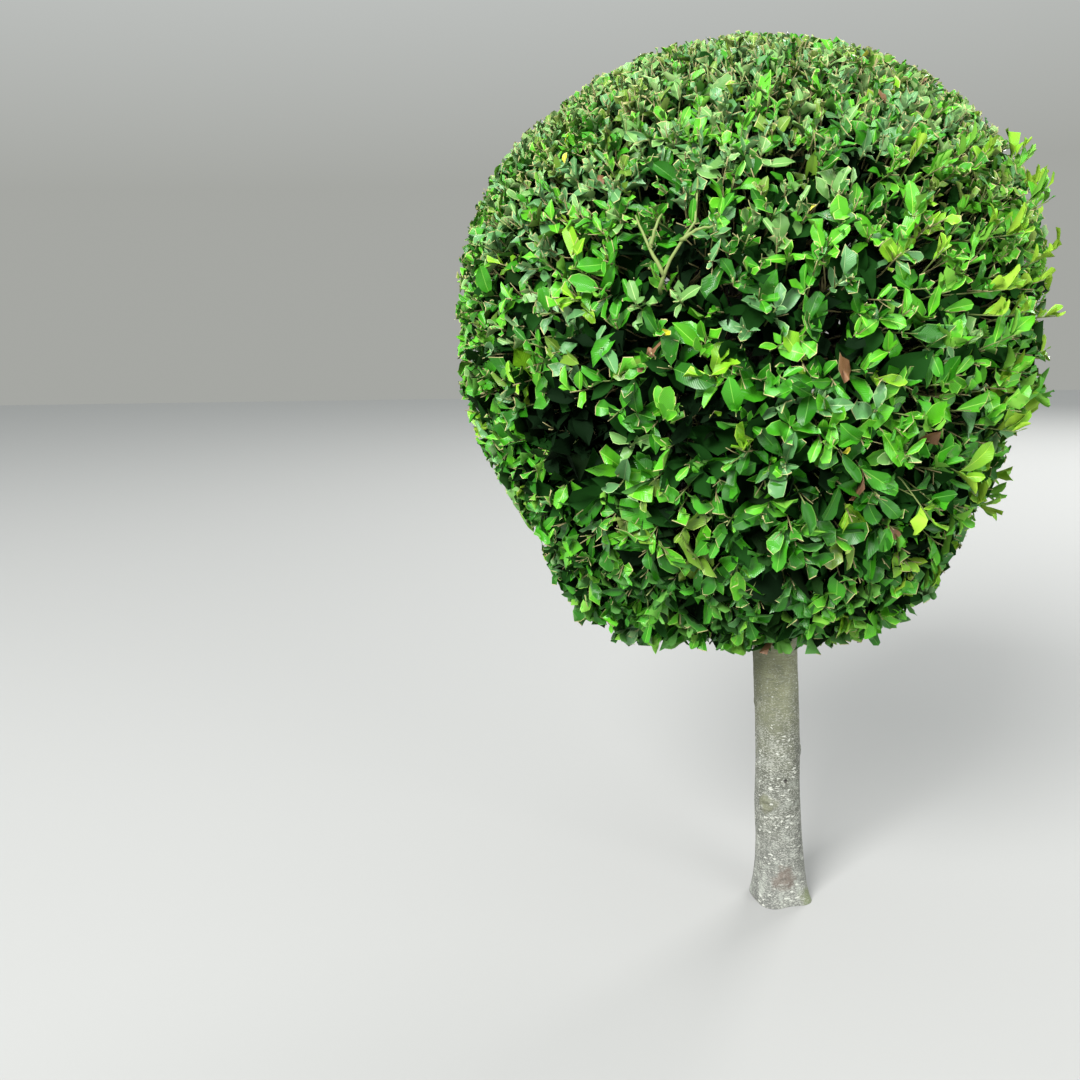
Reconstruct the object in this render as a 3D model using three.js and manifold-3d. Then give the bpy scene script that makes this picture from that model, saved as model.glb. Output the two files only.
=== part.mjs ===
// A standard laurel topiary: one clean trunk that forks just inside a clipped ball of leaves.
// Millimetres, +Z up. The origin is the middle of the flat cut under the trunk, at ground level.
// The side that the trunk and crown are usually seen from is -Y, with +X to the right.

import * as THREE from 'three';
import { mergeVertices } from 'three/addons/utils/BufferGeometryUtils.js';
import Module from 'manifold-3d';

const wasm = await Module();
wasm.setup();

// Trunk
const trunkRadius = 57;
const trunkFootGain = 4.5;
const trunkFootHeight = 450;
const flareGain = 16;
const flareHeight = 75;
const rootDepth = 0.16;
const rootTurn = -0.35;
const rootCount = 4;
const rootBias = 0.35;
const trunkLean = 9;
const leanFrom = 70;
const leanTo = 330;
const forkLean = 14;
const forkHeight = 880;
const forkSwell = 6;
const forkSwellLength = 155;
const trunkTop = 925;
const trunkTopShare = 0.35;
const trunkSides = 20;
const trunkRings = 16;
const ringCrowding = 1.35;

// Boughs, which fan out of the fork, and one that leaves the trunk lower down
const boughCount = 5;
const boughRadius = 25;
const boughTipRadius = 14;
const boughTaper = 0.7;
const boughReach = 330;
const boughRise = 250;
const boughStartRise = 0.55;
const boughSetOut = 12;
const boughSetDown = 14;
const firstBoughTurn = 0.5;
const boughTurnScatter = 0.14;
const boughReachScatter = 0.08;
const boughRiseScatter = 0.15;
const leaderRadius = 28;
const leaderRise = 320;
const leaderSway = 45;
const lowBoughHeight = 712;
const lowBoughRadius = 8;
const lowBoughReach = 290;
const lowBoughRise = 290;
const lowBoughTurn = -0.2;
const lowBoughSetDown = 45;
const lowBoughBend = 0.55;
const boughSides = 10;
const boughRings = 6;
const socketDepth = 55;
const clearance = 0.3;

// Clipped ball: the outline that the leaf tips reach, widest above the middle of its height
const ballCentre = new THREE.Vector3(-116, 0, 1603);
const ballRadius = 682;
const ballRise = 565;
const ballDrop = 867;
const upperRoundness = 2.0;
const lowerRoundness = 2.3;

// Fuller and thinner places of the ball, as turn and tilt from its centre, width and depth
const fullPlaces = [
  { turn: -2.84, tilt: -0.28, width: 0.18, depth: 0.03 },
  { turn: -2.78, tilt: -0.79, width: 0.17, depth: -0.04 },
  { turn: -2.62, tilt: -1.02, width: 0.14, depth: 0.035 },
  { turn: -2.28, tilt: -1.22, width: 0.1, depth: 0.022 },
  { turn: -1.75, tilt: -1.3, width: 0.16, depth: -0.035 },
  { turn: -0.44, tilt: -1.03, width: 0.14, depth: 0.035 },
  { turn: -0.24, tilt: -0.6, width: 0.22, depth: -0.02 },
  { turn: -0.22, tilt: -0.3, width: 0.12, depth: 0.022 },
  { turn: -2.7, tilt: 0.77, width: 0.15, depth: -0.018 },
];

// Core of the ball and the hollow under it, where the fork stands
const leafDepth = 95;
const coreDetail = 4;
const hollowRadius = 245;
const hollowRise = 235;
const hollowFoot = 800;

// Twigs and leaves
const sprigCount = 132;
const sprigSunk = 30;
const twigRadius = 5;
const twigTipRadius = 2.5;
const twigSides = 3;
const twigStop = 62;
const leavesPerSprig = 5;
const leafLength = 168;
const leafWidth = 74;
const leafThickness = 3;
const leastLeaf = 52;
const leafScatter = 0.12;
const leafStep = 8;
const leafRoom = 25;
const coreRoom = 4;
const limbRoom = 10;
const twigRoom = 30;
const firstLeafAt = 0.58;
const lastLeafAt = 0.97;
const lowSplay = 1.1;
const topSplay = 0.3;
const splayScatter = 0.15;
const growUp = 0.2;
const growUpFrom = -0.6;
const growScatter = 0.22;
const goldenAngle = Math.PI * (3 - Math.sqrt(5));
const asideAxis = new THREE.Vector3(0.31, 0.17, 0.94);

// Young shoots that stand proud of the clipped face, most of them on the +X side
const shootProud = 42;
const shootOften = 0.07;
const shootOftenRight = 0.5;
const shootRight = 0.55;
const shootLow = -0.62;
const shootHigh = 0.5;

const bark = new THREE.MeshStandardMaterial({ color: 0x9a917c, roughness: 0.85, metalness: 0 });
const foliage = new THREE.MeshStandardMaterial({ color: 0x3f7420, roughness: 0.45, metalness: 0 });

THREE.MathUtils.seededRandom(5);
const chance = () => THREE.MathUtils.seededRandom();
const spread = (size) => (chance() * 2 - 1) * size;

// Turns a closed geometry into a solid, with each shared vertex moved by place
function solid(geometry, place) {
  geometry.deleteAttribute('normal');
  geometry.deleteAttribute('uv');
  const merged = mergeVertices(geometry, 1e-5);
  const position = merged.getAttribute('position');
  const vertProperties = new Float32Array(position.count * 3);
  const point = new THREE.Vector3();
  for (let i = 0; i < position.count; i++) {
    point.fromBufferAttribute(position, i);
    place(point);
    point.toArray(vertProperties, i * 3);
  }
  const triVerts = new Uint32Array(merged.getIndex().array);
  return new wasm.Manifold(new wasm.Mesh({ numProp: 3, vertProperties, triVerts }));
}

function meshOf(name, shape, material) {
  const result = shape.getMesh();
  const geometry = new THREE.BufferGeometry();
  geometry.setAttribute('position', new THREE.BufferAttribute(result.vertProperties, 3));
  geometry.setIndex(new THREE.BufferAttribute(result.triVerts, 1));
  geometry.computeVertexNormals();
  const mesh = new THREE.Mesh(geometry, material);
  mesh.name = name;
  return mesh;
}

// The largest body of a shape, with loose scraps dropped and sealed hollows filled
function mainBody(shape) {
  const bodies = shape.decompose();
  return bodies.reduce((best, body) => (body.volume() > best.volume() ? body : best));
}

function leanAt(z) {
  const low = trunkLean * THREE.MathUtils.smoothstep(z, leanFrom, leanTo);
  const high = forkLean * THREE.MathUtils.smoothstep(z, leanTo, forkHeight);
  return -low - high;
}

function trunkRadiusAt(z, turn) {
  const foot = trunkFootGain * Math.max(0, 1 - z / trunkFootHeight);
  const fade = Math.exp(-z / flareHeight);
  const strength = 1 - rootBias + rootBias * Math.cos(turn);
  const roots = 1 + rootDepth * fade * strength * Math.cos(rootCount * (turn - rootTurn));
  const swell = forkSwell * THREE.MathUtils.smoothstep(z, forkHeight - forkSwellLength, forkHeight);
  const overFork = Math.max(0, z - forkHeight) / (trunkTop - forkHeight);
  const round = trunkTopShare + (1 - trunkTopShare) * Math.sqrt(Math.max(0, 1 - overFork ** 2));
  return (trunkRadius + foot + flareGain * fade + swell) * roots * round;
}

// Ring heights crowd together at the foot, where the flare bends
function trunk(extra) {
  const rod = new THREE.CylinderGeometry(1, 1, 1, trunkSides, trunkRings);
  return solid(rod, (point) => {
    const along = point.y + 0.5;
    const z = trunkTop * along ** ringCrowding;
    const turn = Math.atan2(-point.z, point.x);
    const radius = Math.hypot(point.x, point.z) > 0.5 ? trunkRadiusAt(z, turn) + extra : 0;
    const lift = extra * (along > 0.999 ? 1 : 0) - extra * (along < 0.001 ? 1 : 0);
    point.set(leanAt(z) + radius * Math.cos(turn), radius * Math.sin(turn), z + lift);
  });
}

// A round limb along a curve, tapering from its root radius to its tip radius
function limb(curve, rootRadius, tipRadius, extra) {
  const rod = new THREE.CylinderGeometry(1, 1, 1, boughSides, boughRings);
  const frames = curve.computeFrenetFrames(boughRings, false);
  return solid(rod, (point) => {
    const step = Math.round((point.y + 0.5) * boughRings);
    const along = step / boughRings;
    const wide = point.x;
    const deep = point.z;
    const radius = THREE.MathUtils.lerp(rootRadius, tipRadius, along) + extra;
    curve.getPointAt(along, point);
    point.addScaledVector(frames.normals[step], wide * radius);
    point.addScaledVector(frames.binormals[step], -deep * radius);
    if (step === boughRings) point.addScaledVector(frames.tangents[step], extra);
  });
}

function roundness(z) {
  return z > 0 ? upperRoundness : lowerRoundness;
}

// Distance from the ball's centre to its even outline in a unit direction
function evenDistance(direction) {
  const side = Math.hypot(direction.x, direction.y) / ballRadius;
  const height = Math.abs(direction.z) / (direction.z > 0 ? ballRise : ballDrop);
  const power = roundness(direction.z);
  return 1 / (side ** power + height ** power) ** (1 / power);
}

// Distance from the ball's centre to its clipped face, with the fuller and thinner places
function faceDistance(direction) {
  let fullness = 1;
  const toward = new THREE.Vector3();
  for (const place of fullPlaces) {
    const level = Math.cos(place.tilt);
    toward.set(level * Math.cos(place.turn), level * Math.sin(place.turn), Math.sin(place.tilt));
    fullness += place.depth * Math.exp(-((direction.angleTo(toward) / place.width) ** 2));
  }
  return evenDistance(direction) * fullness;
}

function faceNormal(direction) {
  const power = roundness(direction.z);
  const level = Math.hypot(direction.x, direction.y);
  const side = (level / ballRadius) ** (power - 1) / ballRadius;
  const halfHeight = direction.z > 0 ? ballRise : ballDrop;
  const rise = Math.sign(direction.z) * (Math.abs(direction.z) / halfHeight) ** (power - 1) / halfHeight;
  const normal = new THREE.Vector3(direction.x / level * side, direction.y / level * side, rise);
  return normal.normalize();
}

// How far a point lies inside the clipped face, less than zero outside it
function depthInside(point) {
  const direction = point.clone().sub(ballCentre);
  const distance = direction.length();
  return faceDistance(direction.normalize()) - distance;
}

// How far a point lies above the core, less than zero inside it
function heightOverCore(point) {
  const direction = point.clone().sub(ballCentre);
  const distance = direction.length();
  return distance - (evenDistance(direction.normalize()) - leafDepth);
}

function inHollow(point) {
  const side = Math.hypot(point.x - leanAt(forkHeight), point.y) / hollowRadius;
  return side ** 2 + ((point.z - hollowFoot) / hollowRise) ** 2 < 1;
}

const inCore = (point) => heightOverCore(point) < 0 && !inHollow(point);

// The part of a bough's curve that ends one socket's depth inside the core
function untilSocket(start, bend, end) {
  const whole = new THREE.QuadraticBezierCurve3(start, bend, end);
  const steps = 200;
  let entry = 0;
  while (entry < steps && !inCore(whole.getPointAt(entry / steps))) entry++;
  const stop = Math.min(1, entry / steps + socketDepth / whole.getLength());
  const passes = [0, 0.25, 0.5, 0.75, 1].map((share) => whole.getPointAt(share * stop));
  return new THREE.CatmullRomCurve3(passes);
}

const forkPoint = new THREE.Vector3(leanAt(forkHeight), 0, forkHeight);

function lateralBough(index) {
  const turn = firstBoughTurn + index * 2 * Math.PI / boughCount + spread(boughTurnScatter);
  const reach = boughReach * (1 + spread(boughReachScatter));
  const away = new THREE.Vector3(Math.cos(turn), Math.sin(turn), 0);
  const start = forkPoint.clone().addScaledVector(away, boughSetOut);
  start.z += spread(boughSetOut) - boughSetDown;
  const bend = start.clone().addScaledVector(away, reach * 0.5);
  bend.z += reach * 0.5 * boughStartRise;
  const end = start.clone().addScaledVector(away, reach);
  end.z += boughRise * (1 + spread(boughRiseScatter));
  return { name: `bough_${index + 1}`, curve: untilSocket(start, bend, end), radius: boughRadius };
}

function leadingBough() {
  const start = forkPoint.clone();
  const bend = start.clone().add(new THREE.Vector3(0, 0, leaderRise / 2));
  const end = start.clone().add(new THREE.Vector3(-leaderSway, 0, leaderRise));
  return { name: 'leading_bough', curve: untilSocket(start, bend, end), radius: leaderRadius };
}

function lowBough() {
  const away = new THREE.Vector3(Math.cos(lowBoughTurn), Math.sin(lowBoughTurn), 0);
  const start = new THREE.Vector3(leanAt(lowBoughHeight), 0, lowBoughHeight - lowBoughSetDown);
  const bend = start.clone().addScaledVector(away, lowBoughReach * lowBoughBend);
  bend.z += lowBoughRise * (1 - lowBoughBend);
  const end = start.clone().addScaledVector(away, lowBoughReach);
  end.z += lowBoughRise;
  return { name: 'low_bough', curve: untilSocket(start, bend, end), radius: lowBoughRadius };
}

const boughs = [...Array(boughCount).keys()].map(lateralBough);
boughs.push(leadingBough(), lowBough());
const tipRadiusOf = (bough) => Math.min(boughTipRadius, bough.radius * boughTaper);
const boughSolid = (bough, extra) => limb(bough.curve, bough.radius, tipRadiusOf(bough), extra);

function touchesLimb(point, room) {
  if (point.z < trunkTop + room) {
    const side = Math.hypot(point.x - leanAt(point.z), point.y);
    if (side < trunkRadius + forkSwell + room) return true;
  }
  const near = (bough) => bough.curve.getPoints(24).some(
    (spot) => spot.distanceTo(point) < bough.radius + room);
  return boughs.some(near);
}

// A straight three-sided twig
function twigSolid(root, tip) {
  const rod = new THREE.CylinderGeometry(twigTipRadius, twigRadius, root.distanceTo(tip), twigSides, 1);
  const heading = tip.clone().sub(root).normalize();
  const turned = new THREE.Quaternion().setFromUnitVectors(new THREE.Vector3(0, 1, 0), heading);
  const middle = root.clone().lerp(tip, 0.5);
  return solid(rod, (point) => point.applyQuaternion(turned).add(middle));
}

// A leaf is a flattened octahedron: its length, width and thickness are its three axes
function leafSolid(root, heading, flat, length) {
  const across = new THREE.Vector3().crossVectors(heading, flat).normalize();
  const thick = new THREE.Vector3().crossVectors(across, heading).normalize();
  const middle = root.clone().addScaledVector(heading, length / 2);
  const width = leafWidth * Math.sqrt(length / leafLength);
  return solid(new THREE.OctahedronGeometry(1, 0), (point) => {
    const { x, y, z } = point;
    point.copy(middle).addScaledVector(across, x * width / 2);
    point.addScaledVector(heading, y * length / 2).addScaledVector(thick, z * leafThickness / 2);
  });
}

// Spots on the leaves placed so far, which later leaves keep away from
const takenSpots = [];

function leafSpots(root, heading, flat, length) {
  const across = new THREE.Vector3().crossVectors(heading, flat).normalize();
  const along = [0.4, 0.6, 0.8, 1].map((share) => root.clone().addScaledVector(heading, length * share));
  const edges = [-0.4, 0.4].map((share) => along[0].clone().addScaledVector(across, leafWidth * share));
  return [...along, ...edges];
}

const crowded = (spot) => takenSpots.some((taken) => taken.distanceToSquared(spot) < leafRoom ** 2);

// The longest leaf that stays in the ball's outline, clear of core, limbs and other leaves, or none
function fittedLeaf(root, heading, flat, proud) {
  for (let length = leafLength * (1 + spread(leafScatter)); length > leastLeaf; length -= leafStep) {
    const spots = leafSpots(root, heading, flat, length);
    const inside = spots.every((spot) => depthInside(spot) > -proud);
    const outOfCore = spots.every((spot) => heightOverCore(spot) > coreRoom);
    if (inside && outOfCore && !spots.some((spot) => touchesLimb(spot, limbRoom)) && !spots.some(crowded)) {
      takenSpots.push(...spots);
      return leafSolid(root, heading, flat, length);
    }
  }
  return null;
}

function shootHere(direction) {
  const tilt = Math.asin(direction.z);
  const right = direction.x > shootRight && tilt > shootLow;
  return chance() < (right ? shootOftenRight : shootOften) && tilt < shootHigh;
}

// Directions from the ball's centre that share its face evenly, each turned on by the golden angle
function sprigDirections(count) {
  const steps = 360;
  const tilts = [...Array(steps + 1).keys()].map((step) => Math.PI * (0.5 - step / steps));
  const profile = tilts.map((tilt) => {
    const ray = new THREE.Vector3(Math.cos(tilt), 0, Math.sin(tilt));
    return ray.multiplyScalar(evenDistance(ray));
  });
  const areas = [0];
  for (let step = 1; step <= steps; step++) {
    const band = profile[step].distanceTo(profile[step - 1]) * (profile[step].x + profile[step - 1].x);
    areas.push(areas[step - 1] + band);
  }
  let step = 1;
  return [...Array(count).keys()].map((index) => {
    const wanted = areas[steps] * (index + 0.5) / count;
    while (areas[step] < wanted) step++;
    const share = (wanted - areas[step - 1]) / (areas[step] - areas[step - 1]);
    const tilt = THREE.MathUtils.lerp(tilts[step - 1], tilts[step], share);
    const turn = index * goldenAngle;
    const level = Math.cos(tilt);
    return new THREE.Vector3(level * Math.cos(turn), level * Math.sin(turn), Math.sin(tilt));
  });
}

// One sprig: a twig rooted in the core, with leaves that turn by the golden angle up its length
function sprig(direction, pieces) {
  const proud = shootHere(direction) ? shootProud : 0;
  const corePoint = ballCentre.clone().addScaledVector(direction, evenDistance(direction) - leafDepth);
  if (inHollow(corePoint)) return;

  const heading = faceNormal(direction);
  heading.z += growUp * Math.max(0, direction.z - growUpFrom);
  heading.add(new THREE.Vector3(spread(growScatter), spread(growScatter), spread(growScatter)));
  heading.normalize();
  const root = corePoint.clone().addScaledVector(heading, -sprigSunk);
  const twigLength = sprigSunk + leafDepth - twigStop + proud;
  const tip = root.clone().addScaledVector(heading, twigLength);
  if (touchesLimb(tip, twigRoom) || touchesLimb(root, twigRoom)) return;
  pieces.push(twigSolid(root, tip));

  const side = new THREE.Vector3().crossVectors(heading, asideAxis).normalize();
  const firstTurn = chance() * 2 * Math.PI;
  for (let k = 0; k < leavesPerSprig; k++) {
    const share = k / (leavesPerSprig - 1);
    const along = THREE.MathUtils.lerp(firstLeafAt, lastLeafAt, share);
    const away = side.clone().applyAxisAngle(heading, firstTurn + k * goldenAngle);
    const splay = THREE.MathUtils.lerp(lowSplay, topSplay, share) + spread(splayScatter);
    const [rise, reach] = [Math.cos(splay), Math.sin(splay)];
    const leafHeading = heading.clone().multiplyScalar(rise).addScaledVector(away, reach);
    const flat = heading.clone().multiplyScalar(reach).addScaledVector(away, -rise);
    const leaf = fittedLeaf(root.clone().lerp(tip, along), leafHeading, flat, proud);
    if (leaf) pieces.push(leaf);
  }
}

function coreSolid() {
  const ball = solid(new THREE.IcosahedronGeometry(1, coreDetail), (point) => {
    point.normalize();
    const reach = evenDistance(point) - leafDepth;
    point.multiplyScalar(reach).add(ballCentre);
  });
  const hollow = solid(new THREE.SphereGeometry(1, 16, 10), (point) => {
    const { x, y, z } = point;
    point.set(leanAt(forkHeight) + x * hollowRadius, -z * hollowRadius, hollowFoot + y * hollowRise);
  });
  return ball.subtract(hollow);
}

function foliageBall() {
  const pieces = [coreSolid()];
  for (const direction of sprigDirections(sprigCount)) sprig(direction, pieces);
  let ball = wasm.Manifold.union(pieces);
  ball = ball.subtract(trunk(clearance));
  for (const bough of boughs) ball = ball.subtract(boughSolid(bough, clearance));
  return mainBody(ball);
}

const topiary = new THREE.Group();
topiary.name = 'standard_laurel_topiary';
topiary.add(meshOf('trunk', trunk(0), bark));

const trunkRoom = trunk(clearance);
for (const bough of boughs) {
  topiary.add(meshOf(bough.name, mainBody(boughSolid(bough, 0).subtract(trunkRoom)), bark));
}

topiary.add(meshOf('foliage_ball', foliageBall(), foliage));

export default topiary;
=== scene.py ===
import math

import bmesh
import bpy
import numpy as np
from mathutils import Matrix, Vector, noise


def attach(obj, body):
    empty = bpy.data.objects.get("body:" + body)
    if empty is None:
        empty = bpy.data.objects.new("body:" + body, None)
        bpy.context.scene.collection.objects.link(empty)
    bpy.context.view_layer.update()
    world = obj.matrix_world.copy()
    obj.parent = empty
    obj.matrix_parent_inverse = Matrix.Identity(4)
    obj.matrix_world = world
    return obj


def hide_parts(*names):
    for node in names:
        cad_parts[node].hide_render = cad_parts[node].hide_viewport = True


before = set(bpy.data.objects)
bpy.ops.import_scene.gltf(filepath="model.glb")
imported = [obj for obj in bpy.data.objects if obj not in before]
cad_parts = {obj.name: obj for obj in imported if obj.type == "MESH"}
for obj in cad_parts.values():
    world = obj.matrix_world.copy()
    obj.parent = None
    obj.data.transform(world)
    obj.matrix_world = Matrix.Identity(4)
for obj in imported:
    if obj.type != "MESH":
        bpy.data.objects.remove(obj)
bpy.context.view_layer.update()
scene = bpy.context.scene
chance = np.random.default_rng(4146)
fullTurn = 2 * math.pi
goldenAngle = math.pi * (3 - math.sqrt(5))

# Camera: held at eye height, 2.74 m in front of the trunk
viewer = {
    "place": (0.0, -2.74, 1.6),
    # in degrees
    "left": 13.0,
    "down": 12.5,
    "roll": -2.0,
    # in millimetres
    "lens": 36.17,
    "sensor": 36.0,
}


def linked(name, data):
    made = bpy.data.objects.new(name, data)
    scene.collection.objects.link(made)
    return made


def addCamera():
    data = bpy.data.cameras.new("viewer")
    data.lens = viewer["lens"]
    data.sensor_width = viewer["sensor"]
    place = Matrix.Translation(viewer["place"])
    for degrees, axis in ((viewer["left"], "Z"), (90 - viewer["down"], "X"), (viewer["roll"], "Z")):
        place = place @ Matrix.Rotation(math.radians(degrees), 4, axis)
    scene.camera = linked("viewer", data)
    scene.camera.matrix_world = place


addCamera()
print("camera placed")

# Trunk, in metres, with the sizes of the solid
trunk = {
    "radius": 0.057,
    "footGain": 0.0045,  # how much wider it grows towards the ground, and from what height
    "footHeight": 0.45,
    "flareGain": 0.016,  # the root flare, and how soon it fades out upwards
    "flareHeight": 0.075,
    "rootDepth": 0.16,  # ribs of the roots in the flare, strongest on the bias side
    "rootTurn": -0.35,
    "rootCount": 4,
    "rootBias": 0.35,
    "lean": 0.009,
    "leanFrom": 0.07,
    "leanTo": 0.33,
    "forkLean": 0.014,
    "forkHeight": 0.88,
    "forkSwell": 0.006,
    "forkSwellLength": 0.155,
    "top": 0.925,
    "topShare": 0.35,  # width of the rounded top's last ring
    "around": 124,
    "rings": 300,
    "ringCrowding": 1.15,  # over 1, the rings stand closer at the foot
    # relief of the bark: how proud at the ground, how much more to the metre, waves around, waves
    # along, and where in the noise it starts
    "lumps": (0.0016, 0.0, 1.6, 9, (0, 0)),
    "smallLumps": (0.0008, 0.0, 3.5, 22, (4, 0)),
    "wrinkles": (0.00021, 0.00035, 2.2, 130, (9, 3)),
    "grain": (0.0004, 0.0, 26, 420, (2, 8)),
    "flatShare": 0.3,  # share of the relief that is left at the flat cut
    "flatHeight": 0.014,
    # healed knots: turn, height, width, how proud
    "knots": [
        (-2.05, 0.285, 0.02, 0.0045),
        (-1.36, 0.075, 0.018, 0.003),
        (0.3, 0.42, 0.018, 0.003),
        (1.75, 0.2, 0.02, 0.003),
        (2.9, 0.55, 0.014, 0.0022),
    ],
    "knotRing": (0.75, 7),  # how far out its raised ring stands, and how narrow it is
    "knotDimple": (0.35, 5),  # how deep its middle lies, and how narrow it is
    # small holes: turn, height, width, how deep
    "holes": [(-1.2, 0.355, 0.005, 0.005), (2.2, 0.61, 0.004, 0.004)],
    "markSquash": 1.25,  # knots and holes are wider than tall
}


def lerp(low, high, share):
    return low + (high - low) * share


def smooth(value, low, high):
    share = min(1.0, max(0.0, (value - low) / (high - low)))
    return share * share * (3 - 2 * share)


def leanAt(z):
    low = trunk["lean"] * smooth(z, trunk["leanFrom"], trunk["leanTo"])
    high = trunk["forkLean"] * smooth(z, trunk["leanTo"], trunk["forkHeight"])
    return -low - high


def trunkRadiusAt(z, turn):
    foot = trunk["footGain"] * max(0, 1 - z / trunk["footHeight"])
    fade = math.exp(-z / trunk["flareHeight"])
    strength = 1 - trunk["rootBias"] + trunk["rootBias"] * math.cos(turn)
    wave = math.cos(trunk["rootCount"] * (turn - trunk["rootTurn"]))
    roots = 1 + trunk["rootDepth"] * fade * strength * wave
    fork = trunk["forkHeight"]
    swell = trunk["forkSwell"] * smooth(z, fork - trunk["forkSwellLength"], fork)
    overFork = max(0, z - fork) / (trunk["top"] - fork)
    share = trunk["topShare"]
    rounding = share + (1 - share) * math.sqrt(max(0, 1 - overFork**2))
    return (trunk["radius"] + foot + trunk["flareGain"] * fade + swell) * roots * rounding


def trunkPoint(turn, z, proud=0.0):
    radius = trunkRadiusAt(z, turn) + proud
    return Vector((leanAt(z) + radius * math.cos(turn), radius * math.sin(turn), z))


# How far a place on the bark is from a knot or hole, in widths of it
def awayFrom(mark, turn, z):
    markTurn, markHeight, width, _ = mark
    across = math.remainder(turn - markTurn, fullTurn) * trunk["radius"]
    return math.hypot(across, (z - markHeight) * trunk["markSquash"]) / width


def barkRelief(turn, z):
    way = Vector((math.cos(turn), math.sin(turn), 0))
    relief = 0
    for name in ("lumps", "smallLumps", "wrinkles", "grain"):
        proud, more, around, along, start = trunk[name]
        relief += (proud + more * z) * noise.noise(way * around + Vector((*start, z * along)))
    ringAt, ringFall = trunk["knotRing"]
    dimple, dimpleFall = trunk["knotDimple"]
    for knot in trunk["knots"]:
        away = awayFrom(knot, turn, z)
        ring = math.exp(-((away - ringAt) ** 2) * ringFall)
        relief += knot[-1] * (ring - dimple * math.exp(-(away**2) * dimpleFall))
    for hole in trunk["holes"]:
        relief -= hole[-1] * math.exp(-(awayFrom(hole, turn, z) ** 4))
    return relief


def shaped(name, shape, material):
    mesh = bpy.data.meshes.new(name)
    shape.to_mesh(mesh)
    shape.free()
    mesh.materials.append(material)
    return linked(name, mesh)


# A grid rolled into a closed tube: place gives the point at a share around and a share along
def rolledTube(name, around, rings, place, material):
    shape = bmesh.new()
    bmesh.ops.create_grid(shape, x_segments=around, y_segments=rings, size=0.5)
    for corner in shape.verts:
        corner.co = place(corner.co.x + 0.5, corner.co.y + 0.5)
    bmesh.ops.remove_doubles(shape, verts=shape.verts[:], dist=1e-6)
    ends = [edge for edge in shape.edges if edge.is_boundary]
    bmesh.ops.holes_fill(shape, edges=ends, sides=0)
    bmesh.ops.recalc_face_normals(shape, faces=shape.faces[:])
    for face in shape.faces:
        face.smooth = len(face.verts) == 4
    return shaped(name, shape, material)


# A group of nodes with named numbers in and one out
def newGroup(name, inputs, output):
    group = bpy.data.node_groups.new(name, "ShaderNodeTree")
    kind = "NodeSocketFloat"
    for socketName, value in inputs.items():
        socket = group.interface.new_socket(name=socketName, in_out="INPUT", socket_type=kind)
        socket.default_value = value
    group.interface.new_socket(name=output, in_out="OUTPUT", socket_type=kind)
    return group, group.nodes.new("NodeGroupInput"), group.nodes.new("NodeGroupOutput")


def addGroup(tree, group):
    node = tree.nodes.new("ShaderNodeGroup")
    node.node_tree = group
    return node


# A value or colour is set, and another node's output is linked
def setSocket(tree, socket, value):
    if isinstance(value, bpy.types.NodeSocket):
        tree.links.new(value, socket)
    else:
        socket.default_value = (*value, 1) if socket.type == "RGBA" else value


def addNode(tree, kind, **values):
    node = tree.nodes.new(f"ShaderNode{kind}")
    for name, value in values.items():
        setSocket(tree, node.inputs[name], value)
    return node


def operated(tree, kind, operation, output, values):
    node = addNode(tree, kind)
    node.operation = operation
    for socket, value in zip(node.inputs, values):
        setSocket(tree, socket, value)
    return node.outputs[output]


def maths(tree, operation, *values):
    return operated(tree, "Math", operation, "Value", values)


def product(tree, first, second):
    return maths(tree, "MULTIPLY", first, second)


def ranged(tree, value, low, high, toLow=0.0, toHigh=1.0):
    node = addNode(tree, "MapRange")
    names = ("Value", "From Min", "From Max", "To Min", "To Max")
    for name, part in zip(names, (value, low, high, toLow, toHigh)):
        setSocket(tree, node.inputs[name], part)
    return node.outputs["Result"]


def blended(tree, share, first, second, mode="MIX"):
    node = addNode(tree, "Mix")
    node.data_type = "RGBA"
    node.blend_type = mode
    sockets = [node.inputs[0]] + [socket for socket in node.inputs if socket.type == "RGBA"]
    for socket, value in zip(sockets, (share, first, second)):
        setSocket(tree, socket, value)
    return next(socket for socket in node.outputs if socket.type == "RGBA")


# The object's own place, stretched into that many waves or cells to the metre
def objectPlace(tree, stretch=(1.0, 1.0, 1.0)):
    place = addNode(tree, "TexCoord").outputs["Object"]
    return addNode(tree, "Mapping", Vector=place, Scale=stretch).outputs["Vector"]


def cloud(tree, scale, detail=3.0, roughness=0.55, stretch=(1.0, 1.0, 1.0)):
    place = objectPlace(tree, stretch)
    node = addNode(tree, "TexNoise", Vector=place, Scale=scale, Detail=detail, Roughness=roughness)
    return node.outputs["Fac"]


# A cloud that drifts between two values, as most of one lies between 0.3 and 0.7
def drift(tree, scale, low, high, detail=3.0):
    return ranged(tree, cloud(tree, scale, detail), 0.3, 0.7, low, high)


# The object's own place, shaken by a cloud, so that no pattern stands in rows
def shakenPlace(tree, stretch, scale, amount):
    shake = addNode(tree, "TexNoise", Vector=objectPlace(tree), Scale=scale).outputs["Color"]
    parts = (shake, (amount, amount, amount), objectPlace(tree, stretch))
    return operated(tree, "VectorMath", "MULTIPLY_ADD", "Vector", parts)


def addBump(tree, shader, height, strength, distance):
    bump = addNode(tree, "Bump", Height=height, Strength=strength, Distance=distance)
    tree.links.new(bump.outputs["Normal"], shader.inputs["Normal"])


def plainMaterial(name, colour, roughness):
    material = bpy.data.materials.new(name)
    material.use_nodes = True
    tree = material.node_tree
    shader = tree.nodes["Principled BSDF"]
    setSocket(tree, shader.inputs["Base Color"], colour)
    shader.inputs["Roughness"].default_value = roughness
    return material, tree, shader


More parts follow.
